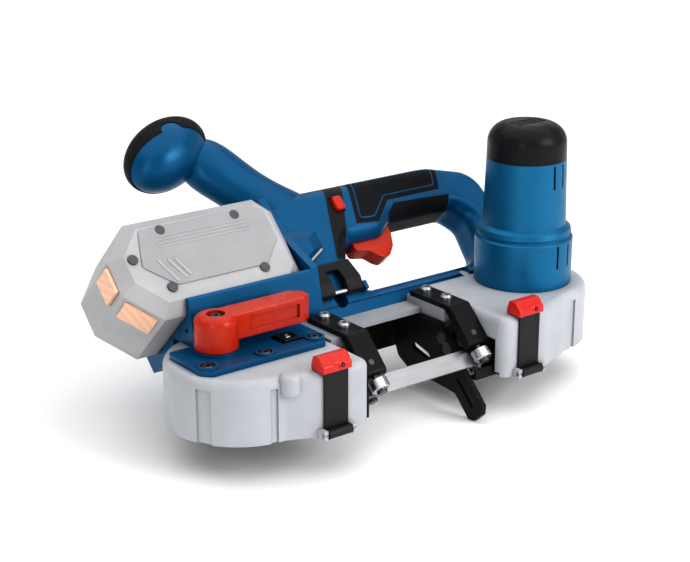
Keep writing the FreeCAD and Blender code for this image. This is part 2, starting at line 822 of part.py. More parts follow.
def arm_screws():
    seat = S.deck_height + S.flange_thick
    group("guide_arm_screws", *[socket_screw(THROAT + GUIDE_X[side], y, seat, S.flange_thick + S.bridge_plate)
                                for side in (-1, 1) for y in ARM_SCREWS])


FINGER_ROOT = -42.0
# Rounded root of the stop, in u and n
STOP_ROOT = [(-26, -8.5), (-6, -27), (7, -31), (19, -26), (25, -9), (23, 3.5)]
STOP_SLOT = ((4.0, -10.0), (-8.5, -2.5))


def work_stop():
    """Plate beside the drive-side arm with a long grooved finger that the work is pressed against."""
    front = BAND_N - S.band_thick / 2 - 3
    heel = front - S.finger_width
    tip = -S.finger_reach
    points = [(2.4, front), (tip + 4, front), (tip, front - 5), (tip, heel + 5), (tip + 4, heel),
              (FINGER_ROOT, heel)] + STOP_ROOT
    body = tilt_place(doc.addObject("PartDesign::Body", "body"))
    right = GUIDE_X[1] - S.arm_width / 2
    profile = sketch(body, "YZ", points, right - S.stop_thick)
    pad(body, profile, S.stop_thick)
    round_edges(body, S.finger_width / 3, upright_at(*points[5:10], axes="yz"))
    round_edges(body, S.pin_head / 2, upright_at(*points[1:5], axes="yz"))
    mid = (front + heel) / 2
    groove_end = FINGER_ROOT + 6
    groove = [(tip + 8, mid - 1.5), (tip + 8, mid + 1.5), (groove_end, mid + 1.5), (groove_end, mid - 1.5)]
    pocket(body, sketch(body, "YZ", groove, right - S.stop_thick), S.stop_thick / 3, back=True)
    holes = [cylinder(tilted(right - S.stop_thick - 1, u, STOP_SCREW_N), S.pin_radius + S.fit_gap,
                      S.stop_thick + 2, "x") for u in STOP_SCREWS]
    sinks = [cylinder(tilted(right - S.stop_thick - 1, u, STOP_SCREW_N), S.screw_head + S.clearance / 2,
                      S.stop_thick / 2 + 1, "x") for u in STOP_SCREWS]
    (u0, n0), (u1, n1) = STOP_SLOT
    run = vec(u1 - u0, n1 - n0).normalize() * num(S.pin_head * 0.8)
    sides = [(u0 - run.y, n0 + run.x), (u0 + run.y, n0 - run.x), (u1 + run.y, n1 - run.x),
             (u1 - run.y, n1 + run.x)]
    pocket(body, sketch(body, "YZ", sides, right - S.stop_thick), S.stop_thick + 1, back=True)
    holes += [cylinder(tilted(right - S.stop_thick - 1, u, n), S.pin_head * 0.8, S.stop_thick + 2, "x")
              for u, n in STOP_SLOT]
    node(cut(body, *holes, *sinks), "work_stop")
    face = right - S.stop_thick
    group("stop_screws", *[fuse(cylinder(tilted(face, u, STOP_SCREW_N), S.screw_head, S.stop_thick / 2, "x"),
                                cylinder(tilted(face, u, STOP_SCREW_N), S.pin_radius, S.stop_thick + 4, "x"))
                           for u in STOP_SCREWS])


# Band tension

LEVER_X = IDLER - S.lever_x
COVER_TOP = S.deck_height + S.cover_thick
CARRIAGE_TOP = S.deck_height - S.roof - S.clearance
CARRIAGE_LOW = CARRIAGE_TOP - 9
LEVER_SHANK = 8.0
PEDESTAL_TOP = COVER_TOP + S.pedestal
LEVER_LOW = PEDESTAL_TOP + S.lever_rise
LEVER_TOP = LEVER_LOW + S.lever_thick
LEVER_SEAT = LEVER_TOP - S.screw_sink


COVER_SCREWS = ((-33.0, -14.0), (8.0, -16.0), (48.0, -13.0))
COVER_SEAT = COVER_TOP + 1.2 - S.pin_head
COVER_RECESS = ((25.0, -10.5), (42.0, 6.0))


def tension():
    reach = S.cam_radius + S.cam_throw + 2 * S.clearance
    cam_x = LEVER_X - S.cam_throw
    half_slot = S.cam_radius + 1.5 * S.clearance
    carriage = block((cam_x - half_slot - S.wall, -S.shaft_radius - 2 * S.wall, CARRIAGE_LOW),
                     (IDLER + S.shaft_radius + 2 * S.wall, S.lever_y + reach + S.wall, CARRIAGE_TOP))
    slot = block((cam_x - half_slot, S.lever_y - reach, CARRIAGE_LOW - 1),
                 (cam_x + half_slot, S.lever_y + reach, CARRIAGE_TOP + 1))
    bore = cylinder((IDLER, 0, CARRIAGE_LOW - 1), S.shaft_radius + S.fit_gap, 11)
    node(cut(carriage, slot, bore), "tension_carriage")
    cam = fuse(cylinder((cam_x, S.lever_y, CARRIAGE_LOW + 1), S.cam_radius, CARRIAGE_TOP - CARRIAGE_LOW - 1),
               cylinder((LEVER_X, S.lever_y, CARRIAGE_LOW + 1), S.cam_shaft, LEVER_SEAT - CARRIAGE_LOW - 1))
    thread = cylinder((LEVER_X, S.lever_y, LEVER_SEAT - LEVER_SHANK - 1), S.pin_radius + S.fit_gap,
                      LEVER_SHANK + 2)
    node(cut(cam, thread), "tension_cam")

    foot = PEDESTAL_TOP + S.lever_gap
    top = LEVER_TOP - foot
    boss = new_body((LEVER_X, S.lever_y, foot))
    pad(boss, circle_sketch(boss, "XY", (0, 0), S.lever_boss), top)
    round_edges(boss, S.lever_dome, level_at(top))
    half = S.lever_width / 2
    end = S.lever_length
    outline = [(0, -half), (end - 6, -half), (end, -half + 4), (end, half - 5), (end - 8, half), (0, half)]
    arm = new_body((LEVER_X, S.lever_y, foot))
    pad(arm, sketch(arm, "XY", outline, LEVER_LOW - foot), LEVER_TOP - LEVER_LOW)
    near, far = S.lever_boss + 6, end - 10
    recess = [(near, -half - 1), (far, -half - 1), (far, -half + 1.5), (near, -half + 1.5)]
    pocket(arm, sketch(arm, "XY", recess, LEVER_LOW - foot + 4), LEVER_TOP - LEVER_LOW - 8, back=True)
    round_edges(arm, S.wall / 2, level_at(top))
    bore = cylinder((LEVER_X, S.lever_y, foot - 1), S.cam_shaft + S.fit_gap, top + 2)
    sink = cylinder((LEVER_X, S.lever_y, LEVER_SEAT), S.cam_shaft + 1, S.screw_sink + 1)
    node(cut(fuse(boss, arm), bore, sink), "tension_lever")
    node(socket_screw(LEVER_X, S.lever_y, LEVER_SEAT, LEVER_SHANK), "lever_screw")


def deck_cover():
    """Plate on the idler housing, with a boss at each screw and a pedestal under the lever."""
    body = new_body((IDLER, 0, S.deck_height))
    right = S.idler_throat_wall - S.wall
    left = -S.idler_housing_radius + S.corner_round
    front, back, bevel = -S.cover_front, S.cover_back, 2 * S.wall
    outline = [(left, back), (left, front + bevel), (left + bevel, front), (right - bevel, front),
               (right, front + 2 * bevel), (right, back)]
    pad(body, sketch(body, "XY", outline), S.cover_thick)
    round_edges(body, S.corner_round / 2, upright_at(*outline))
    (x0, y0), (x1, y1) = COVER_RECESS
    recess = [(x0, y0), (x1, y0), (x1, y1), (x0, y1)]
    pocket(body, sketch(body, "XY", recess, S.cover_thick), S.cover_thick * 0.7)
    boss_height = COVER_SEAT + S.pin_head - S.deck_height
    bosses = [cylinder((IDLER + x, y, S.deck_height), S.screw_head + 2.4, boss_height)
              for x, y in COVER_SCREWS]
    bosses.append(cylinder((LEVER_X, S.lever_y, S.deck_height), S.lever_boss + 1, S.cover_thick + S.pedestal))
    pivot = cylinder((LEVER_X, S.lever_y, S.deck_height - 1), S.cam_shaft + S.running_gap,
                     S.cover_thick + S.wall * 2)
    sinks = [cylinder((IDLER + x, y, S.deck_height - 1), S.pin_radius + S.fit_gap, S.cover_thick + S.wall * 2)
             for x, y in COVER_SCREWS]
    sinks += [cylinder((IDLER + x, y, COVER_SEAT), S.screw_head + S.clearance, S.pin_head + 1)
              for x, y in COVER_SCREWS]
    node(cut(fuse(body, *bosses), pivot, *sinks), "deck_cover")
    shank = S.cover_thick + 1
    group("deck_screws", *[socket_screw(IDLER + x, y, COVER_SEAT, shank) for x, y in COVER_SCREWS])


# Guard latches

def latch(name, axis_x, side, offset):
    """A strap hinged at the housing's foot with a head that hooks over the top edge."""
    x = axis_x + side * offset
    back = -S.housing_front - S.strap_thick / 4
    front = back - S.strap_thick
    pin_y = -S.housing_front - S.strap_thick - S.knuckle_radius
    top = S.deck_height + S.latch_rise
    strap_top = top - 4
    plate = block((x - S.strap_width / 2, front, S.knuckle_radius), (x + S.strap_width / 2, back, strap_top))
    knuckle = cylinder((x - S.strap_width / 2, pin_y, S.knuckle_radius), S.knuckle_radius, S.strap_width, "x")
    eye = cylinder((x - S.strap_width, pin_y, S.knuckle_radius), S.latch_pin + S.running_gap,
                   2 * S.strap_width, "x")
    node(cut(fuse(plate, knuckle), eye), f"{name}_latch_strap")

    low = S.deck_height + S.clearance
    nose, heel = front - 1.6, front - 1.6 + S.latch_depth
    points = [(nose, low), (nose, low + 4), (nose + 5, top), (heel - 2, top), (heel, low + 4),
              (heel, low)]
    body = new_body((x, 0, 0))
    pad(body, sketch(body, "YZ", points), S.latch_head, middle=True)
    round_edges(body, S.wall / 2, upright_at(*points[1:5], axes="yz"))
    seat = block((x - S.strap_width / 2 - S.fit_gap, front - S.fit_gap, low - 1),
                 (x + S.strap_width / 2 + S.fit_gap, back + S.fit_gap, strap_top + S.fit_gap))
    eyelet = cylinder((x, nose - 1, low + 3.5), S.pin_radius, 2, "y")
    node(cut(body, seat, eyelet), f"{name}_latch_head")
    span = S.strap_width + 2 * (S.clearance + S.wall)
    return cylinder((x - span / 2, pin_y, S.knuckle_radius), S.latch_pin, span, "x")


def latches():
    group("latch_pins", latch("idler", IDLER, 1, S.idler_latch), latch("drive", DRIVE, -1, S.drive_latch))


# Motor

PIVOT_SEAT = 7.0


def motor():
    """Turned housing on the drive axis: gear base under a lipped shoulder, tapered body, domed cap."""
    base, wall = S.deck_height, S.motor_wall
    shoulder, seam = base + S.motor_base_height, base + S.motor_height
    groove, lip = shoulder + S.shoulder_groove, shoulder + S.shoulder_lip
    rim = S.motor_base_radius
    body = new_body((0, 0, 0))
    outside, end = S.motor_radius, S.motor_top_radius
    revolve(body, [(rim, base), (rim, shoulder - wall / 2), (rim - wall / 2, shoulder),
                   (rim - wall * 0.7, shoulder), (rim - wall * 0.7, groove),
                   (rim - wall * 0.4, groove + wall / 2), (rim - wall * 0.7, lip - wall),
                   (outside + wall / 2, lip - wall / 3), (outside, lip),
                   (end, seam), (end - wall, seam), (outside - wall, lip), (outside - wall, shoulder - wall),
                   (rim - wall, shoulder - 2 * wall), (rim - wall, base)])
    half = S.vent_width / 2
    for top, reach in ((seam + 1, outside), (shoulder, rim)):
        low, high = top - S.vent_length, top - wall
        slot = sketch(body, "XZ", [(-half, low), (half, low), (half, high), (-half, high)])
        polar(body, pocket(body, slot, reach + 1, back=True), S.vent_count, 180)
    node(body, "motor_housing")

    top = seam + S.cap_height
    cap = new_body((0, 0, 0))
    pivot = S.rotor_shaft + S.running_gap
    ceiling = top - wall
    revolve(cap, [(end, seam), (S.cap_radius, top), (0, top), (0, ceiling), (pivot, ceiling),
                  (pivot, ceiling - PIVOT_SEAT), (pivot + wall, ceiling - PIVOT_SEAT),
                  (pivot + wall, ceiling), (S.cap_radius - wall, ceiling), (end - wall, seam)])
    round_edges(cap, S.cap_round, level_at(top))
    inner_rim = num(S.cap_radius - wall)
    at_ceiling = level_at(ceiling)
    round_edges(cap, S.cap_round - wall,
                lambda points, edge: at_ceiling(points, edge) and edge.BoundBox.XMax > inner_rim - 1)
    reach = S.cap_radius - S.cap_round
    for i in (-1, 0, 1):
        slit = [(-reach, i * 4 - half), (reach, i * 4 - half), (reach, i * 4 + half), (-reach, i * 4 + half)]
        pocket(cap, sketch(cap, "XY", slit, top), wall / 2)
    node(cap, "motor_cap")

    low = shoulder + 4
    node(ring((0, 0, low), S.motor_radius - wall - 2, S.stator_bore, S.stator_height), "motor_stator")
    shaft_low = shoulder - 16
    rotor = fuse(cylinder((0, 0, low + 1), S.rotor_radius, S.stator_height - 2),
                 cylinder((0, 0, shaft_low), S.rotor_shaft, top - wall - 1 - shaft_low))
    node(rotor, "motor_rotor")
    fan = new_body((0, 0, low + S.stator_height + 2))
    bore = S.rotor_shaft + S.fit_gap
    tips = end - wall - 2
    revolve(fan, [(bore, 0), (tips, 0), (tips, 2), (bore + 3, 2), (bore + 3, 6), (bore, 6)])
    blade = [(bore + 2, -0.8), (tips - 0.5, -0.8), (tips - 0.5, 0.8), (bore + 2, 0.8)]
    vane = pad(fan, sketch(fan, "XY", blade, 1), 5)
    polar(fan, vane, 8)
    node(fan, "cooling_fan")
    gear_top = shoulder - 7
    case = cylinder((0, 0, base), S.motor_base_radius - wall - S.clearance, gear_top - base)
    neck = cylinder((0, 0, base), S.motor_radius - wall - S.clearance - 6, shoulder - base)
    input_bore = cylinder((0, 0, shaft_low - 1), S.rotor_shaft + S.running_gap, 30)
    output_bore = cylinder((0, 0, base - 1), S.shaft_radius + S.running_gap, S.motor_base_height / 2 + 1.5)
    node(cut(fuse(case, neck), input_bore, output_bore), "reduction_gear")


# Main shell: rear D handle, middle block, battery bay, stem and knob, all in the tilted frame

def rounded_wire(points):
    """A closed wire through corners given as x, y and corner radius."""
    count = len(points)
    edges, ends = [], []
    for i, (x, y, radius) in enumerate(points):
        here = vec(x, y)
        before, after = vec(*points[i - 1][:2]), vec(*points[(i + 1) % count][:2])
        into, out = (before - here).normalize(), (after - here).normalize()
        half = into.getAngle(out) / 2
        reach = num(radius) / math.tan(half) if radius else 0.0
        first, last = here + into * reach, here + out * reach
        if radius:
            middle = (into + out).normalize()
            belly = here + middle * (num(radius) / math.sin(half) - num(radius))
            edges.append(Part.Arc(first, belly, last).toShape())
        ends.append((first, last))
    for i in range(count):
        start, end = ends[i][1], ends[(i + 1) % count][0]
        if (end - start).Length > 1e-6:
            edges.append(Part.LineSegment(start, end).toShape())
    return Part.Wire(Part.__sortEdges__(edges))


FOOT_U = 28.0
SHROUD = 0.18
GRIP_DEPTH = S.grip_top - S.grip_under
HANDLE_ROUND = num(GRIP_DEPTH * S.grip_round)


def handle_outlines():
    top, left, right = S.grip_top, S.core_left, S.leg_right
    shoulder = HANDLE_ROUND * 1.38
    outer = [(left, FOOT_U, 0), (left, top - 18, shoulder), (left + 16, top, shoulder), (right - 49, top, 60),
             (right - 8, top - 12, 24), (right, top - 64, 40), (right - 14, FOOT_U, 0)]
    floor, under = S.opening_floor, S.grip_under
    near, far = S.opening_left, S.opening_right
    drop = (under - floor) * SHROUD
    inner = [(near, floor, 8), (near - 2, floor + (under - floor) / 2, 8), (near + 6, under - drop, 8),
             (near + 38, under - drop, 13), (near + 49, under, 9), (far - 6, under, 9),
             (far + 3, under - 10.5, 9), (far, floor + 8, 10), (far - 16, floor, 9)]
    return rounded_wire(outer), rounded_wire(inner)


def handle_solid(inset):
    """The D handle and middle block, or the same shape some way under its skin."""
    outer, inner = handle_outlines()
    if inset:
        outer, inner = outer.makeOffset2D(-inset), inner.makeOffset2D(inset)
    face = Part.Face(outer).cut(Part.Face(inner))
    low = num(S.handle_mid - S.handle_thick / 2) + inset
    high = num(S.handle_mid + S.handle_thick / 2) - inset
    solid = face.extrude(vec(0, 0, high - low))
    solid.translate(vec(0, 0, low))
    rims = [e for e in solid.Edges if abs(e.BoundBox.ZMax - e.BoundBox.ZMin) < 1e-6
            and e.BoundBox.YMax > FOOT_U + inset + 0.1]
    return solid.makeFillet(HANDLE_ROUND - inset, rims).Solids[0]


def stem_solid():
    """A tapering oval neck from the middle block into the knob."""
    foot = vec(S.core_left + 24, S.grip_top - 10, S.handle_mid)
    run = vec(S.knob_x + S.stem_aim_x, S.knob_u + S.stem_aim_u, S.handle_mid) - foot
    along = vec(run.x, run.y).normalize()
    turn = FreeCAD.Rotation(vec(along.y, -along.x), vec(0, 0, 1), -along, "XYZ")
    wide, thick = num(S.stem_width) / 2, num(S.stem_thick) / 2
    sections = []
    for share, spread in ((-0.11, 1.3), (0.17, 1.06), (0.51, 0.98), (0.96, 0.98), (1.14, 0.5)):
        oval = Part.Ellipse(vec(0, 0), wide * spread, thick * min(spread, 1.05)).toShape()
        oval.Placement = FreeCAD.Placement(foot + run * share, turn)
        sections.append(Part.Wire(oval))
    return Part.makeLoft(sections, True, False)


def knob_solid(grow):
    """Egg-shaped palm knob, its long axis across the stem."""
    long_r, short_r = num(S.knob_long) + grow, num(S.knob_short) + grow
    arc = Part.ArcOfEllipse(Part.Ellipse(vec(0, 0), long_r, short_r), 0, math.pi).toShape()
    axis = Part.LineSegment(vec(-long_r, 0), vec(long_r, 0)).toShape()
    solid = Part.Face(Part.Wire([arc, axis])).revolve(vec(0, 0), vec(1, 0), 360)
    solid.Placement = FreeCAD.Placement(vec(S.knob_x, S.knob_u, S.handle_mid),
                                        FreeCAD.Rotation(vec(0, 0, 1), num(S.knob_lean)))
    return Part.makeSolid(Part.Shell(solid.Faces)) if solid.ShapeType != "Solid" else solid


CAP_LEAN = -130.0
CAP_PROUD = 0.6


def cap_zone():
    """The upper and rear part of the knob that its soft cap covers, less a tongue at the front."""
    long_r, short_r = num(S.knob_long), num(S.knob_short)
    lean = FreeCAD.Rotation(vec(1, 0, 0), CAP_LEAN)
    reach = 2 * long_r
    half = Part.makeBox(2 * reach, 2 * reach, reach, vec(-reach, -reach, -0.39 * short_r))
    half.Placement = FreeCAD.Placement(vec(S.knob_x, S.knob_u, S.handle_mid), lean).multiply(half.Placement)
    tongue = Part.makeCylinder(0.35 * short_r, reach, vec(S.knob_x, S.knob_u + 0.26 * short_r, S.handle_mid))
    return half.cut(tongue)


def prism(points, low, high, axis="n"):
    """A straight solid over a polygon of the tilted frame, along n or along x."""
    length = num(high) - num(low)
    if axis == "n":
        corners = [vec(x, u, low) for x, u in points]
        reach = vec(0, 0, length)
    else:
        corners = [vec(low, u, n) for u, n in points]
        reach = vec(length, 0, 0)
    return Part.Face(Part.makePolygon(corners + corners[:1])).extrude(reach)


def slab(low, high):
    """A box of the tilted frame between two corners."""
    a, b = vec(*low), vec(*high)
    return Part.makeBox(b.x - a.x, b.y - a.y, b.z - a.z, a)


def saw_point(y, z):
    """u and n of a point given by its depth and height in the saw's frame."""
    c, s = num(cosine(S.tilt)), num(sine(S.tilt))
    rise = num(z) - num(S.wheel_mid)
    return num(y) * c + rise * s, rise * c - num(y) * s


BAY_FRONT = 22.0
SEAT_GAP = 0.3


def bay_solid():
    """Floor, front ledge and back plate of the battery bay, and the wall at its inner end."""
    gap = num(S.clearance)
    floor = num(S.battery_floor) - gap
    back = num(S.battery_back) - 2 * gap
    rear_y = num(S.idler_housing_radius) + SEAT_GAP
    front_foot = saw_point(BAY_FRONT, S.deck_height)
    under = saw_point(rear_y, S.deck_height)
    tail = saw_point(rear_y, num(S.deck_height) - 12)
    bevel_n = num(S.battery_front) - num(S.battery_bevel) + gap
    ledge = num(S.battery_bevel)
    lip_n = bevel_n + ledge + num(S.wall)
    outer = [(floor + ledge, lip_n), front_foot, under, tail, (floor - 7, num(S.bay_back))]
    plate_top = num(S.battery_top) - 6
    tray = outer + [(plate_top, num(S.bay_back)), (plate_top, back), (floor, back), (floor, bevel_n),
                    (floor + ledge, bevel_n + ledge)]
    wall = outer + [(plate_top, num(S.bay_back)), (num(S.grip_top) - 3, num(S.handle_mid) - 16),
                    (num(S.grip_top) - 3, 4), (floor + 40, 10)]
    inner_end = num(S.battery_right) + gap
    tray_solid = prism(tray, S.bay_left, inner_end, "x")
    edges = [e for e in tray_solid.Edges if e.BoundBox.XLength > 20
             and (e.BoundBox.ZMax < num(S.bay_back) + 0.1 or e.BoundBox.ZMin > lip_n - 0.1)]
    tray_solid = tray_solid.makeFillet(num(S.wall) * 0.4, edges)
    return tray_solid.fuse(prism(wall, inner_end, inner_end + 2 * num(S.wall), "x"))


def bay_lip():
    """Cross-section in u and n of the lip that holds the battery's lower front edge."""
    gap, bevel = num(S.clearance), num(S.battery_bevel)
    floor, front = num(S.battery_floor) - gap, num(S.battery_front)
    return [(floor, front - bevel + gap), (floor + bevel, front + gap), (floor + bevel, front + bevel),
            (floor, front + bevel)]


def rail_slot(gap):
    """T-shaped rail of the battery, or the slot that it runs in."""
    mid_u = num(S.battery_floor + S.battery_top) / 2
    neck, head, step = num(S.rail_neck) / 2 + gap, num(S.rail_head) / 2 + gap, num(S.rail_step)
    back = num(S.battery_back)
    left, right = num(S.bay_left) + (2 if not gap else -1), num(S.battery_right) - 1 + 2 * gap
    shank = slab((left, mid_u - neck, back - step - 1), (right, mid_u + neck, back + 0.5))
    foot = slab((left, mid_u - head, back - 2 * step - 1 - gap), (right, mid_u + head, back - step - 1 + gap))
    return shank.fuse(foot)


def grip_u(share):
    """Height in the tilted plane at a share of the grip's depth above its underside."""
    return num(S.grip_under + GRIP_DEPTH * share)


def zone(*points):
    """A polygon of x and u from points given as x and a share of the grip's depth."""
    return [(x, grip_u(share)) for x, share in points]


# Regions of the grip covering, the band and the openings
GRIP_TOP_ZONE = zone((38, 1.2), (32.5, 0.6), (27, 0.05), (46, 0), (62, 0.39), (111, 0.39), (122, 1.2))
GRIP_SIDE_ZONE = zone((58, 0.12), (66, 0.31), (117, 0.24), (114, 0), (104, -0.2), (58, -0.2))
BAND_FOOT = num(S.opening_floor + (S.grip_under - S.opening_floor) * 0.54)
BAND_ZONE = zone((18.3, 1.2), (35, 1.2)) + [(8, BAND_FOOT), (-3, BAND_FOOT)]
BUTTON_AT = (19.0, grip_u(0.52))
BUTTON_SIZE = (8.0, num(GRIP_DEPTH * 0.293))
TRIGGER_SPAN = (23.5, 61.0)
TRIGGER_TOP = grip_u(0.147)
SWITCH_BOX = ((24.0, grip_u(0.307)), (70.0, grip_u(0.76)))
SWITCH_DEPTH = 11.0


def housing_space():
    """Everything in the saw's frame that the shell has to stay clear of."""
    far = FAR
    back = num(S.idler_housing_radius) + SEAT_GAP
    left, right = num(IDLER + S.idler_throat_wall), -num(S.drive_throat_wall)
    deck, bridge_top = num(S.deck_height), num(BRIDGE_TOP)
    ear_back = num(S.flange_back + S.wall) + SEAT_GAP
    boxes = [Part.makeBox(far, far, deck + far, vec(left - far, back - far, -far)),
             Part.makeBox(far, far, deck + far, vec(right, back - far, -far)),
             Part.makeBox(right - left, far, bridge_top + far, vec(left, back - far, -far)),
             Part.makeBox(right - left, far, deck + far + SEAT_GAP, vec(left, ear_back - far, -far))]
    motor_gap = num(S.clearance)
    boxes.append(Part.makeCylinder(num(S.motor_base_radius) + motor_gap,
                                   num(S.motor_base_height + S.shoulder_lip), vec(0, 0, S.deck_height)))
    boxes.append(Part.makeCylinder(num(S.motor_radius) + 2 * motor_gap, far, vec(0, 0, S.deck_height)))
    return [to_tilt(b) for b in boxes]


HOOK_N = S.handle_mid + S.handle_thick / 2 + S.clearance + S.hook_rod / 2
HOOK_LEFT = S.battery_right + S.wall * 2 + S.clearance * 2


def hook_lugs():
    """Two small ears on the middle block that hold the hang hook's pin."""
    low, high = num(S.hook_floor) - 3, num(S.hook_floor) + 3
    face = num(S.handle_mid + S.handle_thick / 2)
    gap, thick = num(S.clearance), num(S.wall)
    left, right = num(HOOK_LEFT) - gap, num(S.hook_right) + gap
    return [slab((left - thick, low, face - 12), (left, high, face + num(S.hook_rod) + 1)),
            slab((right, low, face - 12), (right + thick, high, face + num(S.hook_rod) + 1))]


def feature(label, shape):
    """A sub-part whose shape is worked out in the tilted frame."""
    obj = doc.addObject("Part::Feature", label)
    obj.Shape = shape
    tilt_place(obj)
    return node(obj, label)


def bay_boss():
    """A hipped block that braces the battery bay's inner end against the middle of the shell."""
    left = num(S.battery_right + S.clearance) + num(S.wall)
    face = num(S.handle_mid + S.handle_thick / 2)
    floor = num(S.battery_floor)
    foot = [(left, floor + 50), (left + 35, floor + 45), (left + 35, floor + 31), (left + 10, floor + 14),
            (left, floor + 14)]
    crest = [(left, floor + 38), (left + 18, floor + 35), (left + 18, floor + 26), (left + 7, floor + 19),
             (left, floor + 19)]
    wires = []
    for points, n in ((foot, face - num(S.skin)), (crest, face + BOSS_RISE)):
        corners = [vec(x, u, n) for x, u in points]
        wires.append(Part.makePolygon(corners + corners[:1]))
    return Part.makeLoft(wires, True, True)


BOSS_RISE = 6.0
NOTCH_DEPTH = 8.0
NOTCH_ROUND = 5.0
RAIL_STEP = 1.2


def rail_cuts():
    """Two finger notches in the lower rail and the step along its front face."""
    face = num(S.handle_mid + S.handle_thick / 2)
    floor = num(S.opening_floor)
    cuts = []
    for x in (num(S.slot_left + S.slot_right) / 2, num(S.opening_right) - 28):
        well = Part.makeCylinder(NOTCH_ROUND, FAR, vec(x, floor - NOTCH_ROUND, face - NOTCH_DEPTH))
        mouth = slab((x - NOTCH_ROUND, floor - NOTCH_ROUND, face - NOTCH_DEPTH),
                     (x + NOTCH_ROUND, floor + 2, FAR))
        cuts.append(well.fuse(mouth))
    cuts.append(slab((HOOK_LEFT, -FAR, face - RAIL_STEP), (S.opening_right, floor - 8, FAR)))
    return cuts


def main_shell():
    skin = num(S.skin)
    core, under_skin = handle_solid(0), handle_solid(skin)
    zones = [prism(area, -FAR, FAR).cut(under_skin) for area in (GRIP_TOP_ZONE, GRIP_SIDE_ZONE, BAND_ZONE)]
    mid = num(S.handle_mid)
    gap = num(S.clearance)
    (x0, u0), (x1, u1) = SWITCH_BOX
    room = slab((x0 - gap, TRIGGER_TOP - 1, mid - SWITCH_DEPTH - gap),
                (x1 + gap, u1 + gap, mid + SWITCH_DEPTH + gap))
    half = num(S.trigger_width) / 2 + gap
    throat = slab((TRIGGER_SPAN[0] - gap, S.opening_floor + 10, mid - half),
                  (TRIGGER_SPAN[1] + gap, TRIGGER_TOP + num(S.trigger_travel) + gap, mid + half))
    bx, bu = BUTTON_AT
    bw, bh = BUTTON_SIZE[0] / 2 + gap, BUTTON_SIZE[1] / 2 + gap
    button_hole = slab((bx - bw, bu - bh, mid + 9), (bx + bw, bu + bh, FAR))
    stem = stem_solid()
    cap = knob_solid(CAP_PROUD).common(cap_zone()).cut([knob_solid(-skin), stem])
    knob = knob_solid(0).cut(cap)
    low_back = to_tilt(Part.makeBox(2 * FAR, FAR, FAR, vec(-FAR, 0, num(BRIDGE_TOP) - 7 - FAR)))
    body = core.cut([low_back] + rail_cuts())
    body = body.fuse([stem, knob, bay_solid(), bay_boss()] + hook_lugs())
    pin = Part.makeCylinder(num(S.latch_pin + S.fit_gap), FAR, vec(-FAR / 2, S.hook_floor, HOOK_N),
                            vec(1, 0, 0))
    battery_way = slab((-FAR, S.battery_floor - gap, S.battery_back - 2 * gap),
                       (S.battery_right + gap, S.battery_top + gap, S.battery_front + gap))
    lip_side = prism(bay_lip(), S.bay_left, S.battery_right + gap, "x")
    body = body.cut(housing_space() + zones + [room, throat, button_hole, rail_slot(gap), pin])
    body = body.cut(battery_way.cut(lip_side))
    whole = max(body.Solids, key=lambda solid: solid.Volume)
    print("shell solids", [round(solid.Volume) for solid in body.Solids])
    for label, low, high in (("front_shell", mid, FAR), ("rear_shell", -FAR, mid)):
        side = slab((-FAR, -FAR, low), (FAR, FAR, high))
        feature(label, whole.common(side))
    cover = core.cut([room, throat, button_hole])
    feature("grip_overmould", cover.common(zones[0]))
    feature("grip_side_pads", cover.common(zones[1]))
    feature("control_band", cover.common(zones[2]).cut(housing_space()))
    feature("knob_cap", cap)


# Controls in the handle

def tilted_body():
    return tilt_place(doc.addObject("PartDesign::Body", "body"))


def controls():
    mid = S.handle_mid
    left, right = TRIGGER_SPAN
    body = tilted_body()
    under = S.grip_under
    points = [(left, TRIGGER_TOP), (left, under - 14), (left + 11, under - 16), (left + 17, under - 22),
              (left + 21, under - 24), (left + 27, under - 22.5), (left + 33, under - 16),
              (right - 1, under - 6), (right, TRIGGER_TOP)]
    pad(body, sketch(body, "XY", points, mid - S.trigger_width / 2), S.trigger_width)
    round_edges(body, S.skin, upright_at(*points[1:7]))
    node(body, "trigger")

    (x0, u0), (x1, u1) = SWITCH_BOX
    low = tilted(x0, u0, mid - SWITCH_DEPTH)
    switch = block(low, (low[0] + (x1 - x0), low[1] + (u1 - u0), low[2] + 2 * SWITCH_DEPTH), "n")
    node(switch, "switch_module")

    face = S.handle_mid + S.handle_thick / 2
    bx, bu = BUTTON_AT
    bw, bh = BUTTON_SIZE[0] / 2, BUTTON_SIZE[1] / 2
    button = tilted_body()
    corners = [(bx - bw, bu - bh), (bx + bw, bu - bh), (bx + bw, bu + bh), (bx - bw, bu + bh)]
    depth = 4.0
    pad(button, sketch(button, "XY", corners, face - depth), depth + S.button_travel + 1)
    round_edges(button, S.skin, upright_at(*corners))
    round_edges(button, S.skin / 2, level_at(face + S.button_travel + 1))
    node(button, "lock_off_button")


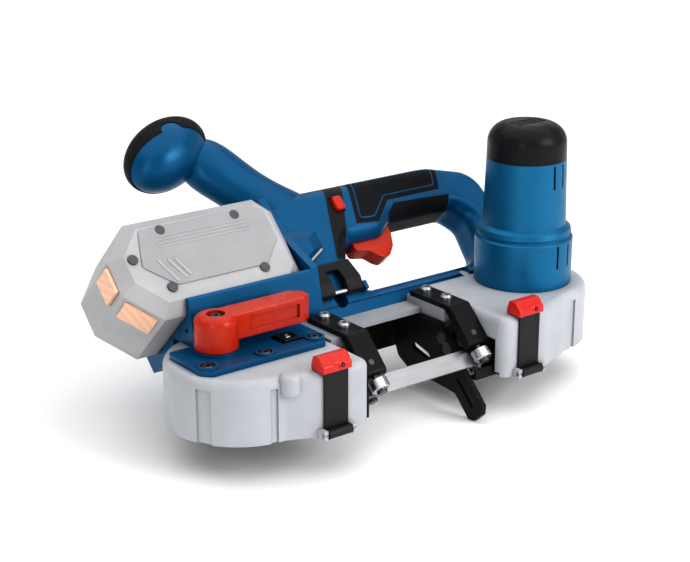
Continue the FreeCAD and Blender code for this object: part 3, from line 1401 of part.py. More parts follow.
def hang_hook():
    """A folding hook: a ridged plate with a finger slot, knuckled round a pin at its foot."""
    rod = S.hook_rod
    low, high = S.hook_floor, S.hook_floor + S.hook_length
    back = HOOK_N - rod / 2
    body = tilted_body()
    profile = [(low, back), (low, back + rod), (low + S.hook_crest, back + S.hook_crest),
               (high, back + rod / 2), (high, back)]
    pad(body, sketch(body, "YZ", profile, HOOK_LEFT), S.hook_right - HOOK_LEFT)
    slot = [(S.slot_left, low - rod), (S.slot_right, low - rod), (S.slot_right, high - 1.4 * rod),
            (S.slot_left, high - 1.4 * rod)]
    round_edges(body, S.wall / 2, upright_at(profile[2], profile[3], axes="yz"))
    mouth = tilt_place(doc.addObject("PartDesign::Body", "body"))
    pad(mouth, sketch(mouth, "XY", slot, back - 1), 3 * rod)
    knuckle = cylinder(tilted(HOOK_LEFT, low, HOOK_N), rod / 2, S.hook_right - HOOK_LEFT, "x")
    bore = cylinder(tilted(HOOK_LEFT - 1, low, HOOK_N), S.latch_pin + S.running_gap,
                    S.hook_right - HOOK_LEFT + 2, "x")
    node(cut(fuse(body, knuckle), bore, mouth), "hang_hook")
    reach = S.clearance + S.wall
    node(cylinder(tilted(HOOK_LEFT - reach, low, HOOK_N), S.latch_pin,
                  S.hook_right - HOOK_LEFT + 2 * reach, "x"), "hook_pin")


# Battery

PANEL = 1.2
RELEASE = ((84.0, -6.0), (101.5, 11.0))
RELEASE_LIFT = 2.5
RELEASE_ROOT = 3.5
SIDE_PANEL_SPAN = (-9.0, 9.0)
SIDE_PANEL_MARGIN = 4.0
TERMINAL = ((84.0, -34.0), (102.0, -20.0))
TERMINAL_REACH = 12.0
BATTERY_SCREWS = ((13.0, -29.0), (31.0, -53.0), (101.0, -54.0), (97.0, -12.5), (40.0, -12.5))


def battery_plan():
    """Outline of the pack in x and u, with its four corners cut off."""
    left, right, low, high = S.battery_left, S.battery_right, S.battery_floor, S.battery_top
    nose_x, nose_u, heel_x, heel_u = S.battery_nose_x, S.battery_nose_u, S.battery_heel_x, S.battery_heel_u
    return [(left, low + nose_u), (left + nose_x, low), (right - heel_x, low), (right, low + heel_u),
            (right, high - heel_u), (right - heel_x, high), (left + nose_x, high), (left, high - nose_u)]


def battery():
    """Slide-in pack: bevelled case on a T rail, cells, release button, side panel and screws."""
    left, right, low = S.battery_left, S.battery_right, S.battery_floor
    body = tilted_body()
    pad(body, sketch(body, "XY", battery_plan(), S.battery_back), S.battery_front - S.battery_back)
    bevel_edges(body, S.battery_bevel, level_at(S.battery_front))
    first_x = left + S.battery_nose_x + S.battery_wall / 2 + S.cell_radius
    first_n = S.battery_back + 2 * S.battery_wall + S.cell_radius
    cell_low = low + S.battery_wall
    columns, rows = 5, 2
    cells = [cylinder(tilted(first_x + i * S.cell_pitch, cell_low, first_n + j * S.cell_pitch), S.cell_radius,
                      S.cell_length, "u") for i in range(columns) for j in range(rows)]
    group("battery_cells", *cells)

    gap = S.clearance
    reach = S.cell_radius + gap
    hollow = slab((first_x - reach, cell_low, first_n - reach),
                  (first_x + (columns - 1) * S.cell_pitch + reach, cell_low + S.cell_length + gap,
                   first_n + (rows - 1) * S.cell_pitch + reach))
    (u0, n0), (u1, n1) = RELEASE
    button_room = slab((left - 1, u0 - gap, n0 - gap), (left + RELEASE_ROOT * 2, u1 + gap, n1 + gap))
    (tu0, tn0), (tu1, tn1) = TERMINAL
    socket = slab((right - TERMINAL_REACH - 1, tu0 - gap, tn0 - gap), (right + 1, tu1 + gap, tn1 + gap))
    doc.recompute()
    case = to_tilt(body.Shape).fuse(rail_slot(0)).cut([hollow, button_room, socket])
    feature("battery_case", case.removeSplitter())
    feature("battery_release", slab((left - RELEASE_LIFT, u0, n0), (left + RELEASE_ROOT, u1, n1)))

    run = vec(S.battery_nose_x, -S.battery_nose_u).normalize()
    out = vec(run.y, -run.x) * PANEL
    first = vec(left, low + S.battery_nose_u) + run * SIDE_PANEL_MARGIN
    last = vec(left + S.battery_nose_x, low) - run * SIDE_PANEL_MARGIN
    corners = [first, last, last + out, first + out]
    feature("battery_side_panel", prism([(p.x, p.y) for p in corners], *SIDE_PANEL_SPAN))

    heads = [tilted(left + x, S.battery_top + u, S.battery_front) for x, u in BATTERY_SCREWS]
    group("battery_screws", *[cylinder(at, S.pin_head, PANEL, "n") for at in heads])
    seat = tilted(right + gap - TERMINAL_REACH, tu0, tn0)
    terminal = block(seat, (seat[0] + TERMINAL_REACH, seat[1] + (tu1 - tu0), seat[2] + (tn1 - tn0)), "n")
    node(terminal, "terminal_block")


idler_housing()
drive_housing()
bridge()
blade_guard()
wheels()
saw_band()
for arm_label, arm_side in (("idler_guide_arm", -1), ("drive_guide_arm", 1)):
    guide_arm(arm_label, arm_side)
rollers()
arm_screws()
work_stop()
tension()
deck_cover()
latches()
motor()
main_shell()
controls()
hang_hook()
battery()

doc.recompute()
for obj in doc.Objects:
    if "Invalid" in obj.State or "Error" in obj.State:
        raise ValueError(f"{obj.Label} did not build")
for obj in NODES:
    if obj.Shape.isNull() or not obj.Shape.isValid():
        raise ValueError(f"{obj.Label} has no valid shape")
os.makedirs("parts", exist_ok=True)
for obj in NODES:
    obj.Shape.exportStep(f"parts/{obj.Label}.step")
    print(obj.Label, len(obj.Shape.Solids), round(obj.Shape.Volume))
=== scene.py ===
import json
import math

import bpy
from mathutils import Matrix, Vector
from mathutils.bvhtree import BVHTree
from mathutils.geometry import intersect_point_line


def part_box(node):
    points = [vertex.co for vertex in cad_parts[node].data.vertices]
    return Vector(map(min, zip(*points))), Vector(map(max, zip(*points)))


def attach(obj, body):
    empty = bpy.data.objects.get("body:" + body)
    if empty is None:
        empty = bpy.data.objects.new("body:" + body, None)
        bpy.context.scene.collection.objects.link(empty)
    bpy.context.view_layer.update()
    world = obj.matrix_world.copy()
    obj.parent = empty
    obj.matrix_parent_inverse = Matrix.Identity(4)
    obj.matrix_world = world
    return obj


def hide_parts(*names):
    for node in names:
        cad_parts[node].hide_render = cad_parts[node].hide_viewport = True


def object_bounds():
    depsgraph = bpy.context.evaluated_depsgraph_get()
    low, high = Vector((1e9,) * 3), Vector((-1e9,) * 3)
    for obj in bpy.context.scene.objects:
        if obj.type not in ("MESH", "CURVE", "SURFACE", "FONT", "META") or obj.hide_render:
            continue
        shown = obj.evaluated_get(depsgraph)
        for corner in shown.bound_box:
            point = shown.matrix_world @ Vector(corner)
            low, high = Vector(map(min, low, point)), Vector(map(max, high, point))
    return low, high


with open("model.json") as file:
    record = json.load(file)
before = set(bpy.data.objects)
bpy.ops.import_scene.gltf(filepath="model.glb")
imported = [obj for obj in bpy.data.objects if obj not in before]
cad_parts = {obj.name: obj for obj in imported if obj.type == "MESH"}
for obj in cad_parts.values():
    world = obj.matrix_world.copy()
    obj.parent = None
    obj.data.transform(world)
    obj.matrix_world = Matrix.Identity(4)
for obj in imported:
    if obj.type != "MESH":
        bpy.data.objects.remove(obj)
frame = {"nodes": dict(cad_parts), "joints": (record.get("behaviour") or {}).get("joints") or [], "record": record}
cad_low, cad_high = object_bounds()
nodes = frame["nodes"]
joints = {joint["name"]: joint for joint in frame["joints"]}
scene = bpy.context.scene
MM = 0.001


# Materials: tone, wear, painted edge highlight, painted crevice shade and relief of the surfaces, with waves per
# metre

BEVEL_SAMPLES = 4
CREVICE_SAMPLES = 6
WAVE_RATE = 20.0
PEBBLE_BAND = (0.1, 0.7)
EDGE_BAND = (0.72, 0.98)
CREVICE_BAND = (0.15, 0.85)
CREVICE_REACH = 7.0 * MM
CREVICE_PAINTED_SHADE = 0.5
CLOUD_WAVES = 38.0
CLOUD_SHADES = (0.93, 1.06)
SPECK_SHARE = 0.12
SPECK_SHADE = 1.5
WORN_AND_LIT_EDGE_SHARE = 0.4
GRAIN_STRENGTH = 0.35
PEBBLE_STRENGTH = 0.5
PEBBLE_DEPTH = 0.15
GROOVE_SHADE_SHARE = 0.22
GROOVE_PAINTED_SHADE = 0.6
GROOVE_STRENGTH = 0.8
GROOVE_DEPTH = 0.4 * MM
SMEAR_WAVES = 160.0
SMEAR_ROUGH = (-0.06, 0.07)
COAT_ROUGH = 0.12
STREAK_SHADES = (0.8, 1.1)
STREAK_ROUGH = (-0.08, 0.12)
STREAK_STRENGTH = 0.2
STREAK_DEPTH = 0.04 * MM
BARE_AND_LIT_EDGE_SHARE = 0.5
BARE_AND_LIT_EDGE_SHADE = 1.3


class Shader:
    """A small helper that wires one procedural surface."""

    def __init__(self, name):
        self.material = bpy.data.materials.new(name)
        self.material.use_nodes = True
        self.tree = self.material.node_tree
        self.surface = self.tree.nodes["Principled BSDF"]
        coords = self.tree.nodes.new("ShaderNodeTexCoord")
        self.place = coords.outputs["Object"]

    def node(self, kind, **settings):
        made = self.tree.nodes.new(kind)
        for key, value in settings.items():
            setattr(made, key, value)
        return made

    def link(self, source, target):
        self.tree.links.new(source, target)

    def mapped(self, stretch=(1.0, 1.0, 1.0), turn=(0.0, 0.0, 0.0)):
        """The piece's own coordinates, turned and stretched."""
        mapping = self.node("ShaderNodeMapping")
        mapping.inputs["Scale"].default_value = stretch
        mapping.inputs["Rotation"].default_value = turn
        self.link(self.place, mapping.inputs["Vector"])
        return mapping.outputs["Vector"]

    def noise(self, scale, detail=3.0, rough=0.55, stretch=None):
        """Noise over the piece's own coordinates, in waves per metre."""
        made = self.node("ShaderNodeTexNoise")
        made.inputs["Scale"].default_value = scale
        made.inputs["Detail"].default_value = detail
        made.inputs["Roughness"].default_value = rough
        self.link(self.mapped(stretch) if stretch else self.place, made.inputs["Vector"])
        return made.outputs["Fac"]

    def pebbles(self, pitch):
        """Rounded cells for a leathery or knurled surface."""
        made = self.node("ShaderNodeTexVoronoi", feature="SMOOTH_F1")
        made.inputs["Scale"].default_value = 1.0 / pitch
        self.link(self.place, made.inputs["Vector"])
        return self.ramp(made.outputs["Distance"], 1.0, 0.0, *PEBBLE_BAND)

    def ribs(self, pitch, turn):
        """Parallel ridges across the turned x axis; the wave runs through 20 radians per unit."""
        made = self.node("ShaderNodeTexWave", bands_direction="X")
        made.inputs["Scale"].default_value = math.tau / WAVE_RATE / pitch
        self.link(self.mapped(turn=turn), made.inputs["Vector"])
        return made.outputs["Fac"]

    def ramp(self, source, low, high, start=0.3, end=0.7):
        """Map a value to a range."""
        made = self.node("ShaderNodeMapRange")
        made.inputs["From Min"].default_value = start
        made.inputs["From Max"].default_value = end
        made.inputs["To Min"].default_value = low
        made.inputs["To Max"].default_value = high
        self.link(source, made.inputs["Value"])
        return made.outputs["Result"]

    def mix(self, factor, first, second):
        """Mix two colours by a factor socket; a colour may be a socket."""
        made = self.node("ShaderNodeMix", data_type="RGBA")
        self.link(factor, made.inputs[0])
        for value, target in ((first, made.inputs[6]), (second, made.inputs[7])):
            if hasattr(value, "is_linked"):
                self.link(value, target)
            else:
                target.default_value = (*value, 1.0)
        return made.outputs[2]

    def softened(self, width):
        """The normal with edges rounded off."""
        made = self.node("ShaderNodeBevel", samples=BEVEL_SAMPLES)
        made.inputs["Radius"].default_value = width
        return made.outputs["Normal"]

    def edges(self, width):
        """A mask of edges for painted highlight and wear: where a rounded normal leaves the plain one."""
        plain = self.node("ShaderNodeNewGeometry")
        dot = self.node("ShaderNodeVectorMath", operation="DOT_PRODUCT")
        self.link(self.softened(width), dot.inputs[0])
        self.link(plain.outputs["Normal"], dot.inputs[1])
        return self.ramp(dot.outputs["Value"], 1.0, 0.0, *EDGE_BAND)

    def painted_crevice_shade(self, reach):
        """A mask of painted shade, dark where the surface is closed in: seams, corners and slots."""
        made = self.node("ShaderNodeAmbientOcclusion", samples=CREVICE_SAMPLES, only_local=False)
        made.inputs["Distance"].default_value = reach
        return self.ramp(made.outputs["AO"], 0.0, 1.0, *CREVICE_BAND)

    def bump(self, layers, bevel=0.0):
        """Stack bump layers of (height, strength, distance) over softened edges."""
        normal = self.softened(bevel) if bevel else None
        for height, strength, distance in layers:
            made = self.node("ShaderNodeBump")
            made.inputs["Strength"].default_value = strength
            made.inputs["Distance"].default_value = distance
            self.link(height, made.inputs["Height"])
            if normal:
                self.link(normal, made.inputs["Normal"])
            normal = made.outputs["Normal"]
        self.link(normal, self.surface.inputs["Normal"])

    def set(self, **values):
        """Constant values on the surface's own sockets."""
        for key, value in values.items():
            self.surface.inputs[key.replace("_", " ")].default_value = value


def shade(colour, amount):
    """A colour made darker or paler."""
    return tuple(min(1.0, c * amount) for c in colour)


def moulded(name, colour, rough=0.42, grain=2600.0, depth=0.06, edge=0.6, worn_and_lit_edge=1.25, coat=0.0, gloss=0.2,
            flake=0.0, pebble=0.0, ribs=None):
    """Moulded plastic or lacquer: cloudy tone, fine grain, paler edges as painted highlight and wear, painted
    shade in seams; lengths in millimetres.
    """
    s = Shader(name)
    dark, pale = (shade(colour, amount) for amount in CLOUD_SHADES)
    tone = s.mix(s.ramp(s.noise(CLOUD_WAVES, 2.0), 0.0, 1.0), dark, pale)
    tone = s.mix(s.ramp(s.noise(grain, 2.0), 0.0, SPECK_SHARE), tone, shade(colour, SPECK_SHADE))
    # Paler edges: painted edge highlight, partly wear.
    tone = s.mix(s.ramp(s.edges(edge * MM), 0.0, WORN_AND_LIT_EDGE_SHARE, 0.0, 1.0), tone, shade(colour, worn_and_lit_edge))
    # Darker seams, corners and slots: painted shade.
    tone = s.mix(s.painted_crevice_shade(CREVICE_REACH), shade(colour, CREVICE_PAINTED_SHADE), tone)
    layers = [(s.noise(grain, 3.0), GRAIN_STRENGTH, depth * MM)]
    if pebble:
        layers.append((s.pebbles(pebble * MM), PEBBLE_STRENGTH, PEBBLE_DEPTH * pebble * MM))
    if ribs:
        wave = s.ribs(ribs[0] * MM, ribs[1])
        # Darker grooves between the ribs: painted shade.
        tone = s.mix(s.ramp(wave, GROOVE_SHADE_SHARE, 0.0, 0.1, 0.6), tone, shade(colour, GROOVE_PAINTED_SHADE))
        layers.append((wave, GROOVE_STRENGTH, GROOVE_DEPTH))
    s.link(tone, s.surface.inputs["Base Color"])
    sheen = s.ramp(s.noise(SMEAR_WAVES, 4.0), *(rough + change for change in SMEAR_ROUGH))
    s.link(sheen, s.surface.inputs["Roughness"])
    s.bump(layers, edge * MM)
    s.set(Specular_IOR_Level=gloss, Metallic=flake)
    if coat:
        s.set(Coat_Weight=coat, Coat_Roughness=COAT_ROUGH)
    return s.material


def metal(name, colour, rough=0.3, stretch=(1.0, 1.0, 1.0), scale=900.0, edge=0.4):
    """Bare or plated metal with a directional finish, and paler edges as painted highlight and wear."""
    s = Shader(name)
    streak = s.noise(scale, 4.0, 0.6, stretch)
    dark, pale = (shade(colour, amount) for amount in STREAK_SHADES)
    tone = s.mix(s.ramp(streak, 0.0, 1.0), dark, pale)
    # Paler edges: painted edge highlight, partly wear.
    tone = s.mix(s.ramp(s.edges(edge * MM), 0.0, BARE_AND_LIT_EDGE_SHARE, 0.0, 1.0), tone, shade(colour, BARE_AND_LIT_EDGE_SHADE))
    s.link(tone, s.surface.inputs["Base Color"])
    sheen = s.ramp(streak, *(rough + change for change in STREAK_ROUGH))
    s.link(sheen, s.surface.inputs["Roughness"])
    s.bump([(streak, STREAK_STRENGTH, STREAK_DEPTH)], edge * MM)
    s.set(Metallic=1.0)
    return s.material


# Colours, and the look of each material slot

BLUE = (0.0, 0.070, 0.168)
# The motor is the shells' blue painted paler: a painted highlight.
LIT_MOTOR_BLUE = (0.0, 0.113, 0.242)
RED = (0.42, 0.020, 0.003)
LATCH_RED = (0.50, 0.022, 0.016)
BLACK = (0.010, 0.0105, 0.012)
PALE = (0.385, 0.40, 0.425)
RIB_TURN = (0.0, math.radians(35.0), 0.0)

LOOKS = {
    "blue_plastic": moulded("satin_blue", BLUE, 0.34, depth=0.02, worn_and_lit_edge=1.5, flake=0.35),
    "motor_blue": moulded("motor_blue", LIT_MOTOR_BLUE, 0.42, depth=0.012, worn_and_lit_edge=1.4, gloss=0.4, flake=0.5),
    "black_rubber": moulded("soft_black", BLACK, 0.50, 1500.0, 0.15, worn_and_lit_edge=1.8, gloss=0.06, pebble=1.1),
    "black_plastic": moulded("moulded_black", BLACK, 0.30, depth=0.03, worn_and_lit_edge=1.8, gloss=0.1),
    "red_plastic": moulded("gloss_red", RED, 0.26, 2200.0, 0.03, worn_and_lit_edge=1.2, coat=0.1),
    "latch_red": moulded("latch_red", LATCH_RED, 0.26, 2200.0, 0.03, worn_and_lit_edge=1.2, coat=0.1),
    "cast_grey": moulded("cast_lacquer", PALE, 0.36, 1900.0, 0.08, worn_and_lit_edge=1.25),
    # The bridge is the housing lacquer darkened: painted shade.
    "bridge_metal": moulded("shaded_bridge_lacquer", shade(PALE, 0.7), 0.34, 1100.0, 0.14, worn_and_lit_edge=1.3),
    "black_metal": moulded("black_coating", (0.008, 0.0082, 0.009), 0.32, 1700.0, 0.06, worn_and_lit_edge=3.5, gloss=0.1),
    "strap_rubber": moulded("strap_rubber", (0.012, 0.012, 0.013), 0.48, 1500.0, 0.15, worn_and_lit_edge=2.0),
    "band_steel": metal("ground_band", (0.38, 0.385, 0.395), 0.36, (1.0, 40.0, 40.0), 60.0),
    "bright_steel": metal("ground_steel", (0.66, 0.66, 0.68), 0.24, (1.0, 1.0, 12.0), 400.0),
    "fastener_steel": metal("plated_steel", (0.45, 0.45, 0.47), 0.32, (1.0, 1.0, 1.0), 1400.0),
    "wheel_metal": metal("turned_alloy", (0.6, 0.61, 0.63), 0.35, (1.0, 1.0, 1.0), 700.0),
    "tyre_rubber": moulded("tyre_rubber", (0.02, 0.02, 0.022), 0.6, 1200.0, 0.2, worn_and_lit_edge=1.5),
    "motor_copper": metal("wound_stator", (0.42, 0.3, 0.22), 0.4, (1.0, 1.0, 60.0), 60.0),
    "inner_plastic": moulded("inner_plastic", (0.05, 0.053, 0.06), 0.5),
    "battery_grey": moulded("pale_case", (0.385, 0.385, 0.395), 0.45, worn_and_lit_edge=1.15),
    "battery_orange": moulded("pale_orange", (0.90, 0.53, 0.36), 0.45, worn_and_lit_edge=1.15, ribs=(3.2, RIB_TURN)),
    "cell_wrap": moulded("cell_sleeve", (0.06, 0.14, 0.12), 0.35, worn_and_lit_edge=1.2),
}

DARK_STEEL = metal("dark_steel", (0.10, 0.10, 0.105), 0.38, (1.0, 1.0, 1.0), 1400.0)
PLATEAU_LOOK = moulded("plateau_grey", (0.31, 0.31, 0.32), 0.5, worn_and_lit_edge=1.3)

SLOT_OF = {entry["node"]: entry["material_slot"] for entry in frame["record"]["subparts"]}
DARK_NODES = ("battery_screws", "deck_screws", "lever_screw", "guide_pins", "stop_screws")
OWN_LOOK = dict.fromkeys(DARK_NODES, DARK_STEEL)
for name, obj in nodes.items():
    obj.data.materials.clear()
    obj.data.materials.append(OWN_LOOK.get(name, LOOKS[SLOT_OF[name]]))


# Places and mesh builders: from here on, lengths are in millimetres and places are (x, u) on the tilted frame

FRONT_ROLLERS = [Vector(joints[f"{end}_front_roller_spin"]["pos_m"]) for end in ("idler", "drive")]
THROAT_X = sum(place.x for place in FRONT_ROLLERS) / 2
TILT_LEVEL = 13.0 * MM
UP_TILT = Vector((0.0, 1.0, 1.0)).normalized()
FACE = Vector((0.0, -1.0, 1.0)).normalized()
AHEAD = 200.0
SHARP = math.radians(35.0)
ARC_STEPS = 6
CORNER_STEPS = 5
EDGE_STEPS = 3
MITRE_LIMIT = 0.5
BEAD_ROOT = 0.4
DOME_ROOT = 0.3
DOME_ANGLES = (0.0, 0.6, 1.1, 1.45)
TREES = {}


def tilted(x, u, n):
    """A point of the handle's tilted frame, given in millimetres."""
    return Vector((THROAT_X + x * MM, 0.0, TILT_LEVEL)) + UP_TILT * (u * MM) + FACE * (n * MM)


def met(node, start, along):
    """Where a node is first met along a line, and its normal there."""
    if node not in TREES:
        mesh = nodes[node].data
        TREES[node] = BVHTree.FromPolygons([v.co for v in mesh.vertices], [p.vertices for p in mesh.polygons])
    hit, normal, _, _ = TREES[node].ray_cast(start, along)
    return hit, normal


def on_face(node, x, u):
    """Where a node is met from in front of the tilted frame, and its normal there."""
    return met(node, tilted(x, u, AHEAD), -FACE)


def piece(name, points, faces, body, slot, look=None):
    """A new piece that rides on a body."""
    mesh = bpy.data.meshes.new(name)
    mesh.from_pydata(points, [], faces)
    mesh.validate()
    mesh.update()
    mesh.materials.append(look or LOOKS[slot])
    obj = bpy.data.objects.new(name, mesh)
    scene.collection.objects.link(obj)
    for polygon in mesh.polygons:
        polygon.use_smooth = True
    mesh.set_sharp_from_angle(angle=SHARP)
    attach(obj, body)
    return obj


def loops(rings, closed):
    """Points and faces of a skin over rings of equal count, capped where it isn't closed."""
    count = len(rings[0])
    points = [point for ring in rings for point in ring]
    faces = []
    for k in range(len(rings) if closed else len(rings) - 1):
        near, far = k * count, (k + 1) % len(rings) * count
        faces += [(near + i, near + (i + 1) % count, far + (i + 1) % count, far + i) for i in range(count)]
    if not closed:
        faces.append(tuple(reversed(range(count))))
        faces.append(tuple(range(len(points) - count, len(points))))
    return points, faces


def turned(profile, origin, axis, steps=48, closed=False):
    """A profile of (radius, along) in millimetres turned about an axis; an open one is capped."""
    axis = Vector(axis).normalized()
    side = axis.orthogonal().normalized()
    across = axis.cross(side)
    rings = []
    for radius, along in profile:
        turns = [math.tau * k / steps for k in range(steps)]
        rings.append([origin + axis * (along * MM)
                      + (side * math.cos(a) + across * math.sin(a)) * (radius * MM) for a in turns])
    return loops(rings, closed)


def joined(*parts):
    """Several (points, faces) as one."""
    points, faces = [], []
    for more, skins in parts:
        faces += [tuple(i + len(points) for i in skin) for skin in skins]
        points += more
    return points, faces


def spaced(outline, step):
    """A closed outline with points added along its long sides."""
    path = []
    for here, there in zip(outline, outline[1:] + outline[:1]):
        start, end = Vector(here), Vector(there)
        parts = max(1, round((end - start).length / step))
        path += [tuple(start.lerp(end, k / parts)) for k in range(parts)]
    return path


def rounded(outline, radius):
    """A closed outline with each corner turned into a short arc."""
    path = []
    for before, here, after in zip(outline[-1:] + outline[:-1], outline, outline[1:] + outline[:1]):
        corner = Vector(here)
        start = corner + (Vector(before) - corner).normalized() * radius
        end = corner + (Vector(after) - corner).normalized() * radius
        for k in range(CORNER_STEPS + 1):
            t = k / CORNER_STEPS
            path.append(tuple(start * (1 - t) ** 2 + corner * (2 * t * (1 - t)) + end * t ** 2))
    return path


def inset(outline, depth):
    """A closed, counter-clockwise outline moved inwards."""
    moved = []
    for before, here, after in zip(outline[-1:] + outline[:-1], outline, outline[1:] + outline[:1]):
        a = (Vector(here) - Vector(before)).normalized()
        b = (Vector(after) - Vector(here)).normalized()
        inward = Vector((-a.y - b.y, a.x + b.x))
        moved.append(tuple(Vector(here) + inward * (2.0 * depth / max(inward.length_squared, MITRE_LIMIT))))
    return moved


def pad(outline, low, high, edge):
    """A low plate on the tilted frame with a rounded upper edge."""
    rings = [[tilted(x, u, low) for x, u in outline], [tilted(x, u, high - edge) for x, u in outline]]
    for k in range(1, EDGE_STEPS + 1):
        angle = math.pi / 2 * k / EDGE_STEPS
        line = inset(outline, edge * (1.0 - math.cos(angle)))
        rings.append([tilted(x, u, high - edge + edge * math.sin(angle)) for x, u in line])
    return loops(rings, False)


def bead(node, path, width, proud, closed):
    """A half-round bead laid on a node along a path of (x, u)."""
    hits = [on_face(node, x, u) for x, u in path]
    rings = []
    for k, (hit, normal) in enumerate(hits):
        after = hits[(k + 1) % len(hits)][0] if closed or k + 1 < len(hits) else hit
        before = hits[k - 1][0] if closed or k else hit
        side = normal.cross(after - before).normalized()
        across, rise = side * (width / 2 * MM), normal * (proud * MM)
        turns = [math.pi * i / ARC_STEPS for i in range(ARC_STEPS + 1)]
        ring = [hit + across * math.cos(a) + rise * math.sin(a) for a in turns]
        foot = normal * (-BEAD_ROOT * MM)
        rings.append(ring + [ring[-1] + foot, ring[0] + foot])
    return loops(rings, closed)


def dome(centre, normal, radius, height, steps=10):
    """A small round bump with its foot under the surface."""
    profile = [(radius, -DOME_ROOT)] + [(radius * math.cos(a), height * math.sin(a)) for a in DOME_ANGLES]
    return turned(profile, centre, normal, steps)


def scaled(profile, radius, height):
    """A profile stretched to a radius and a height."""
    return [(r * radius, z * height) for r, z in profile]


def inside(outline, x, u, margin):
    """Whether a place lies in an outline, clear of its edge."""
    odd = False
    for (ax, au), (bx, bu) in zip(outline, outline[1:] + outline[:1]):
        if (au > u) != (bu > u) and x < ax + (u - au) * (bx - ax) / (bu - au):
            odd = not odd
        _, t = intersect_point_line((x, u), (ax, au), (bx, bu))
        foot = Vector((ax, au)).lerp((bx, bu), min(1.0, max(0.0, t)))
        if (foot - Vector((x, u))).length < margin:
            return False
    return odd


# Softer edges on the pieces a hand touches

EASED = {"trigger": 14, "idler_latch_head": 6, "drive_latch_head": 6, "lock_off_button": 4}
EASED_MESH = 0.5 * MM
WELD_REACH = 0.002 * MM
for name, rounds in EASED.items():
    nodes[name].modifiers.new("joined", "WELD").merge_threshold = WELD_REACH
    remesh = nodes[name].modifiers.new("even", "REMESH")
    remesh.mode = "VOXEL"
    remesh.voxel_size = EASED_MESH
    remesh.use_smooth_shade = True
    nodes[name].modifiers.new("eased", "SMOOTH").iterations = rounds


# Grip: the inset line and the raised dots inside it

GRIP_ZONE = [(36.4, 135.0), (32.5, 119.0), (27.0, 98.4), (46.0, 96.5), (62.0, 111.1), (111.0, 111.1),
             (119.6, 135.0)]
GRIP_MARGIN = 4.2
GRIP_LINE = inset(GRIP_ZONE, GRIP_MARGIN)
LINE_CORNER = 2.5
LINE_STEP = 1.5
LINE_WIDTH = 1.1
LINE_RISE = 0.3
DOT_PITCH = 5.6
DOT_RADIUS = 1.0
DOT_RISE = 0.45
DOT_MARGIN = 3.0


def grip_line():
    ring = spaced(rounded(GRIP_LINE, LINE_CORNER), LINE_STEP)
    skin = bead("grip_overmould", ring, LINE_WIDTH, LINE_RISE, True)
    piece("grip_line", *skin, "saw", "blue_plastic")


def grip_dots():
    """Domes on a triangular grid."""
    xs, us = zip(*GRIP_LINE)
    domes = []
    row, u = 0, min(us)
    while u < max(us):
        x = min(xs) + (row % 2) * DOT_PITCH / 2
        while x < max(xs):
            if inside(GRIP_LINE, x, u, DOT_MARGIN):
                domes.append(dome(*on_face("grip_overmould", x, u), DOT_RADIUS, DOT_RISE))
            x += DOT_PITCH
        row, u = row + 1, u + DOT_PITCH * math.sqrt(3.0) / 2
    piece("grip_dots", *joined(*domes), "saw", "black_rubber")


# Body: the stored hexagon key, and the deck cover's square recess filled with a black block as painted shade, with
# a screw in it

KEY_ENDS = ((-26.0, 77.0), (-11.0, 85.0))
KEY_RADIUS = 1.4
KEY_TIP = 0.4
RECESS_AT = (34.5, -2.1)
RECESS_HALF = 6.4
RECESS_FLOOR = 43.1
SHADE_BLOCK_PROFILE = [(1.0, 0.0), (1.0, 0.7), (0.92, 0.8), (0.62, 0.8), (0.56, 0.3)]
SCREW_SHARE = 0.42
SCREW_PROFILE = [(1.0, 0.2), (1.0, 0.7), (0.85, 0.8), (0.5, 0.8), (0.42, 0.5)]


def stored_key():
    ends = [on_face("front_shell", *place)[0] for place in KEY_ENDS]
    length = (ends[1] - ends[0]).length / MM
    tip = KEY_TIP * KEY_RADIUS
    end = KEY_RADIUS - tip
    profile = [(end, 0.0), (KEY_RADIUS, tip), (KEY_RADIUS, length - tip), (end, length)]
    piece("stored_key", *turned(profile, ends[0], ends[1] - ends[0], 6), "saw", "fastener_steel")


def recess_shade_block():
    """A black block filling the square recess as painted shade, with a sunk hexagon-head screw."""
    wheel = Vector(joints["idler_wheel_spin"]["pos_m"])
    foot = Vector((wheel.x + RECESS_AT[0] * MM, wheel.y + RECESS_AT[1] * MM, RECESS_FLOOR * MM))
    top = (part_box("deck_cover")[1].z - foot.z) / MM
    block = scaled(SHADE_BLOCK_PROFILE, RECESS_HALF * math.sqrt(2.0), top)
    # Painted shade: a black block fills the square recess.
    piece("recess_shade_block", *turned(block, foot, (0, 0, 1), 4), "saw", "black_plastic")
    head = scaled(SCREW_PROFILE, SCREW_SHARE * RECESS_HALF, top)
    piece("guide_screw", *turned(head, foot, (0, 0, 1), 6), "saw", "fastener_steel")


# Latches: a black dish low on each head, painted shade in its small hole

HOLE_SHADE_RADIUS = 1.5
HOLE_AT = (0.68, 0.34)
HOLE_SHADE_PROFILE = [(1.0, -0.8), (1.0, 0.1), (0.8, 0.25), (0.5, 0.2), (0.4, -0.4)]


def latch_hole_shade(end):
    """A small dished black ring set into the head's front: painted shade in the hole."""
    low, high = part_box(f"{end}_latch_head")
    x = low.x + HOLE_AT[0] * (high.x - low.x)
    z = low.z + HOLE_AT[1] * (high.z - low.z)
    hit, normal = met(f"{end}_latch_head", Vector((x, low.y - AHEAD * MM, z)), Vector((0.0, 1.0, 0.0)))
    rim = scaled(HOLE_SHADE_PROFILE, HOLE_SHADE_RADIUS, 1.0)
    # Painted shade: a black dish in the head's small hole.
    piece(f"{end}_latch_hole_shade", *turned(rim, hit, normal, 24), f"{end}_latch", "black_plastic")


# Battery: the raised plateau on its face and the ribs on it

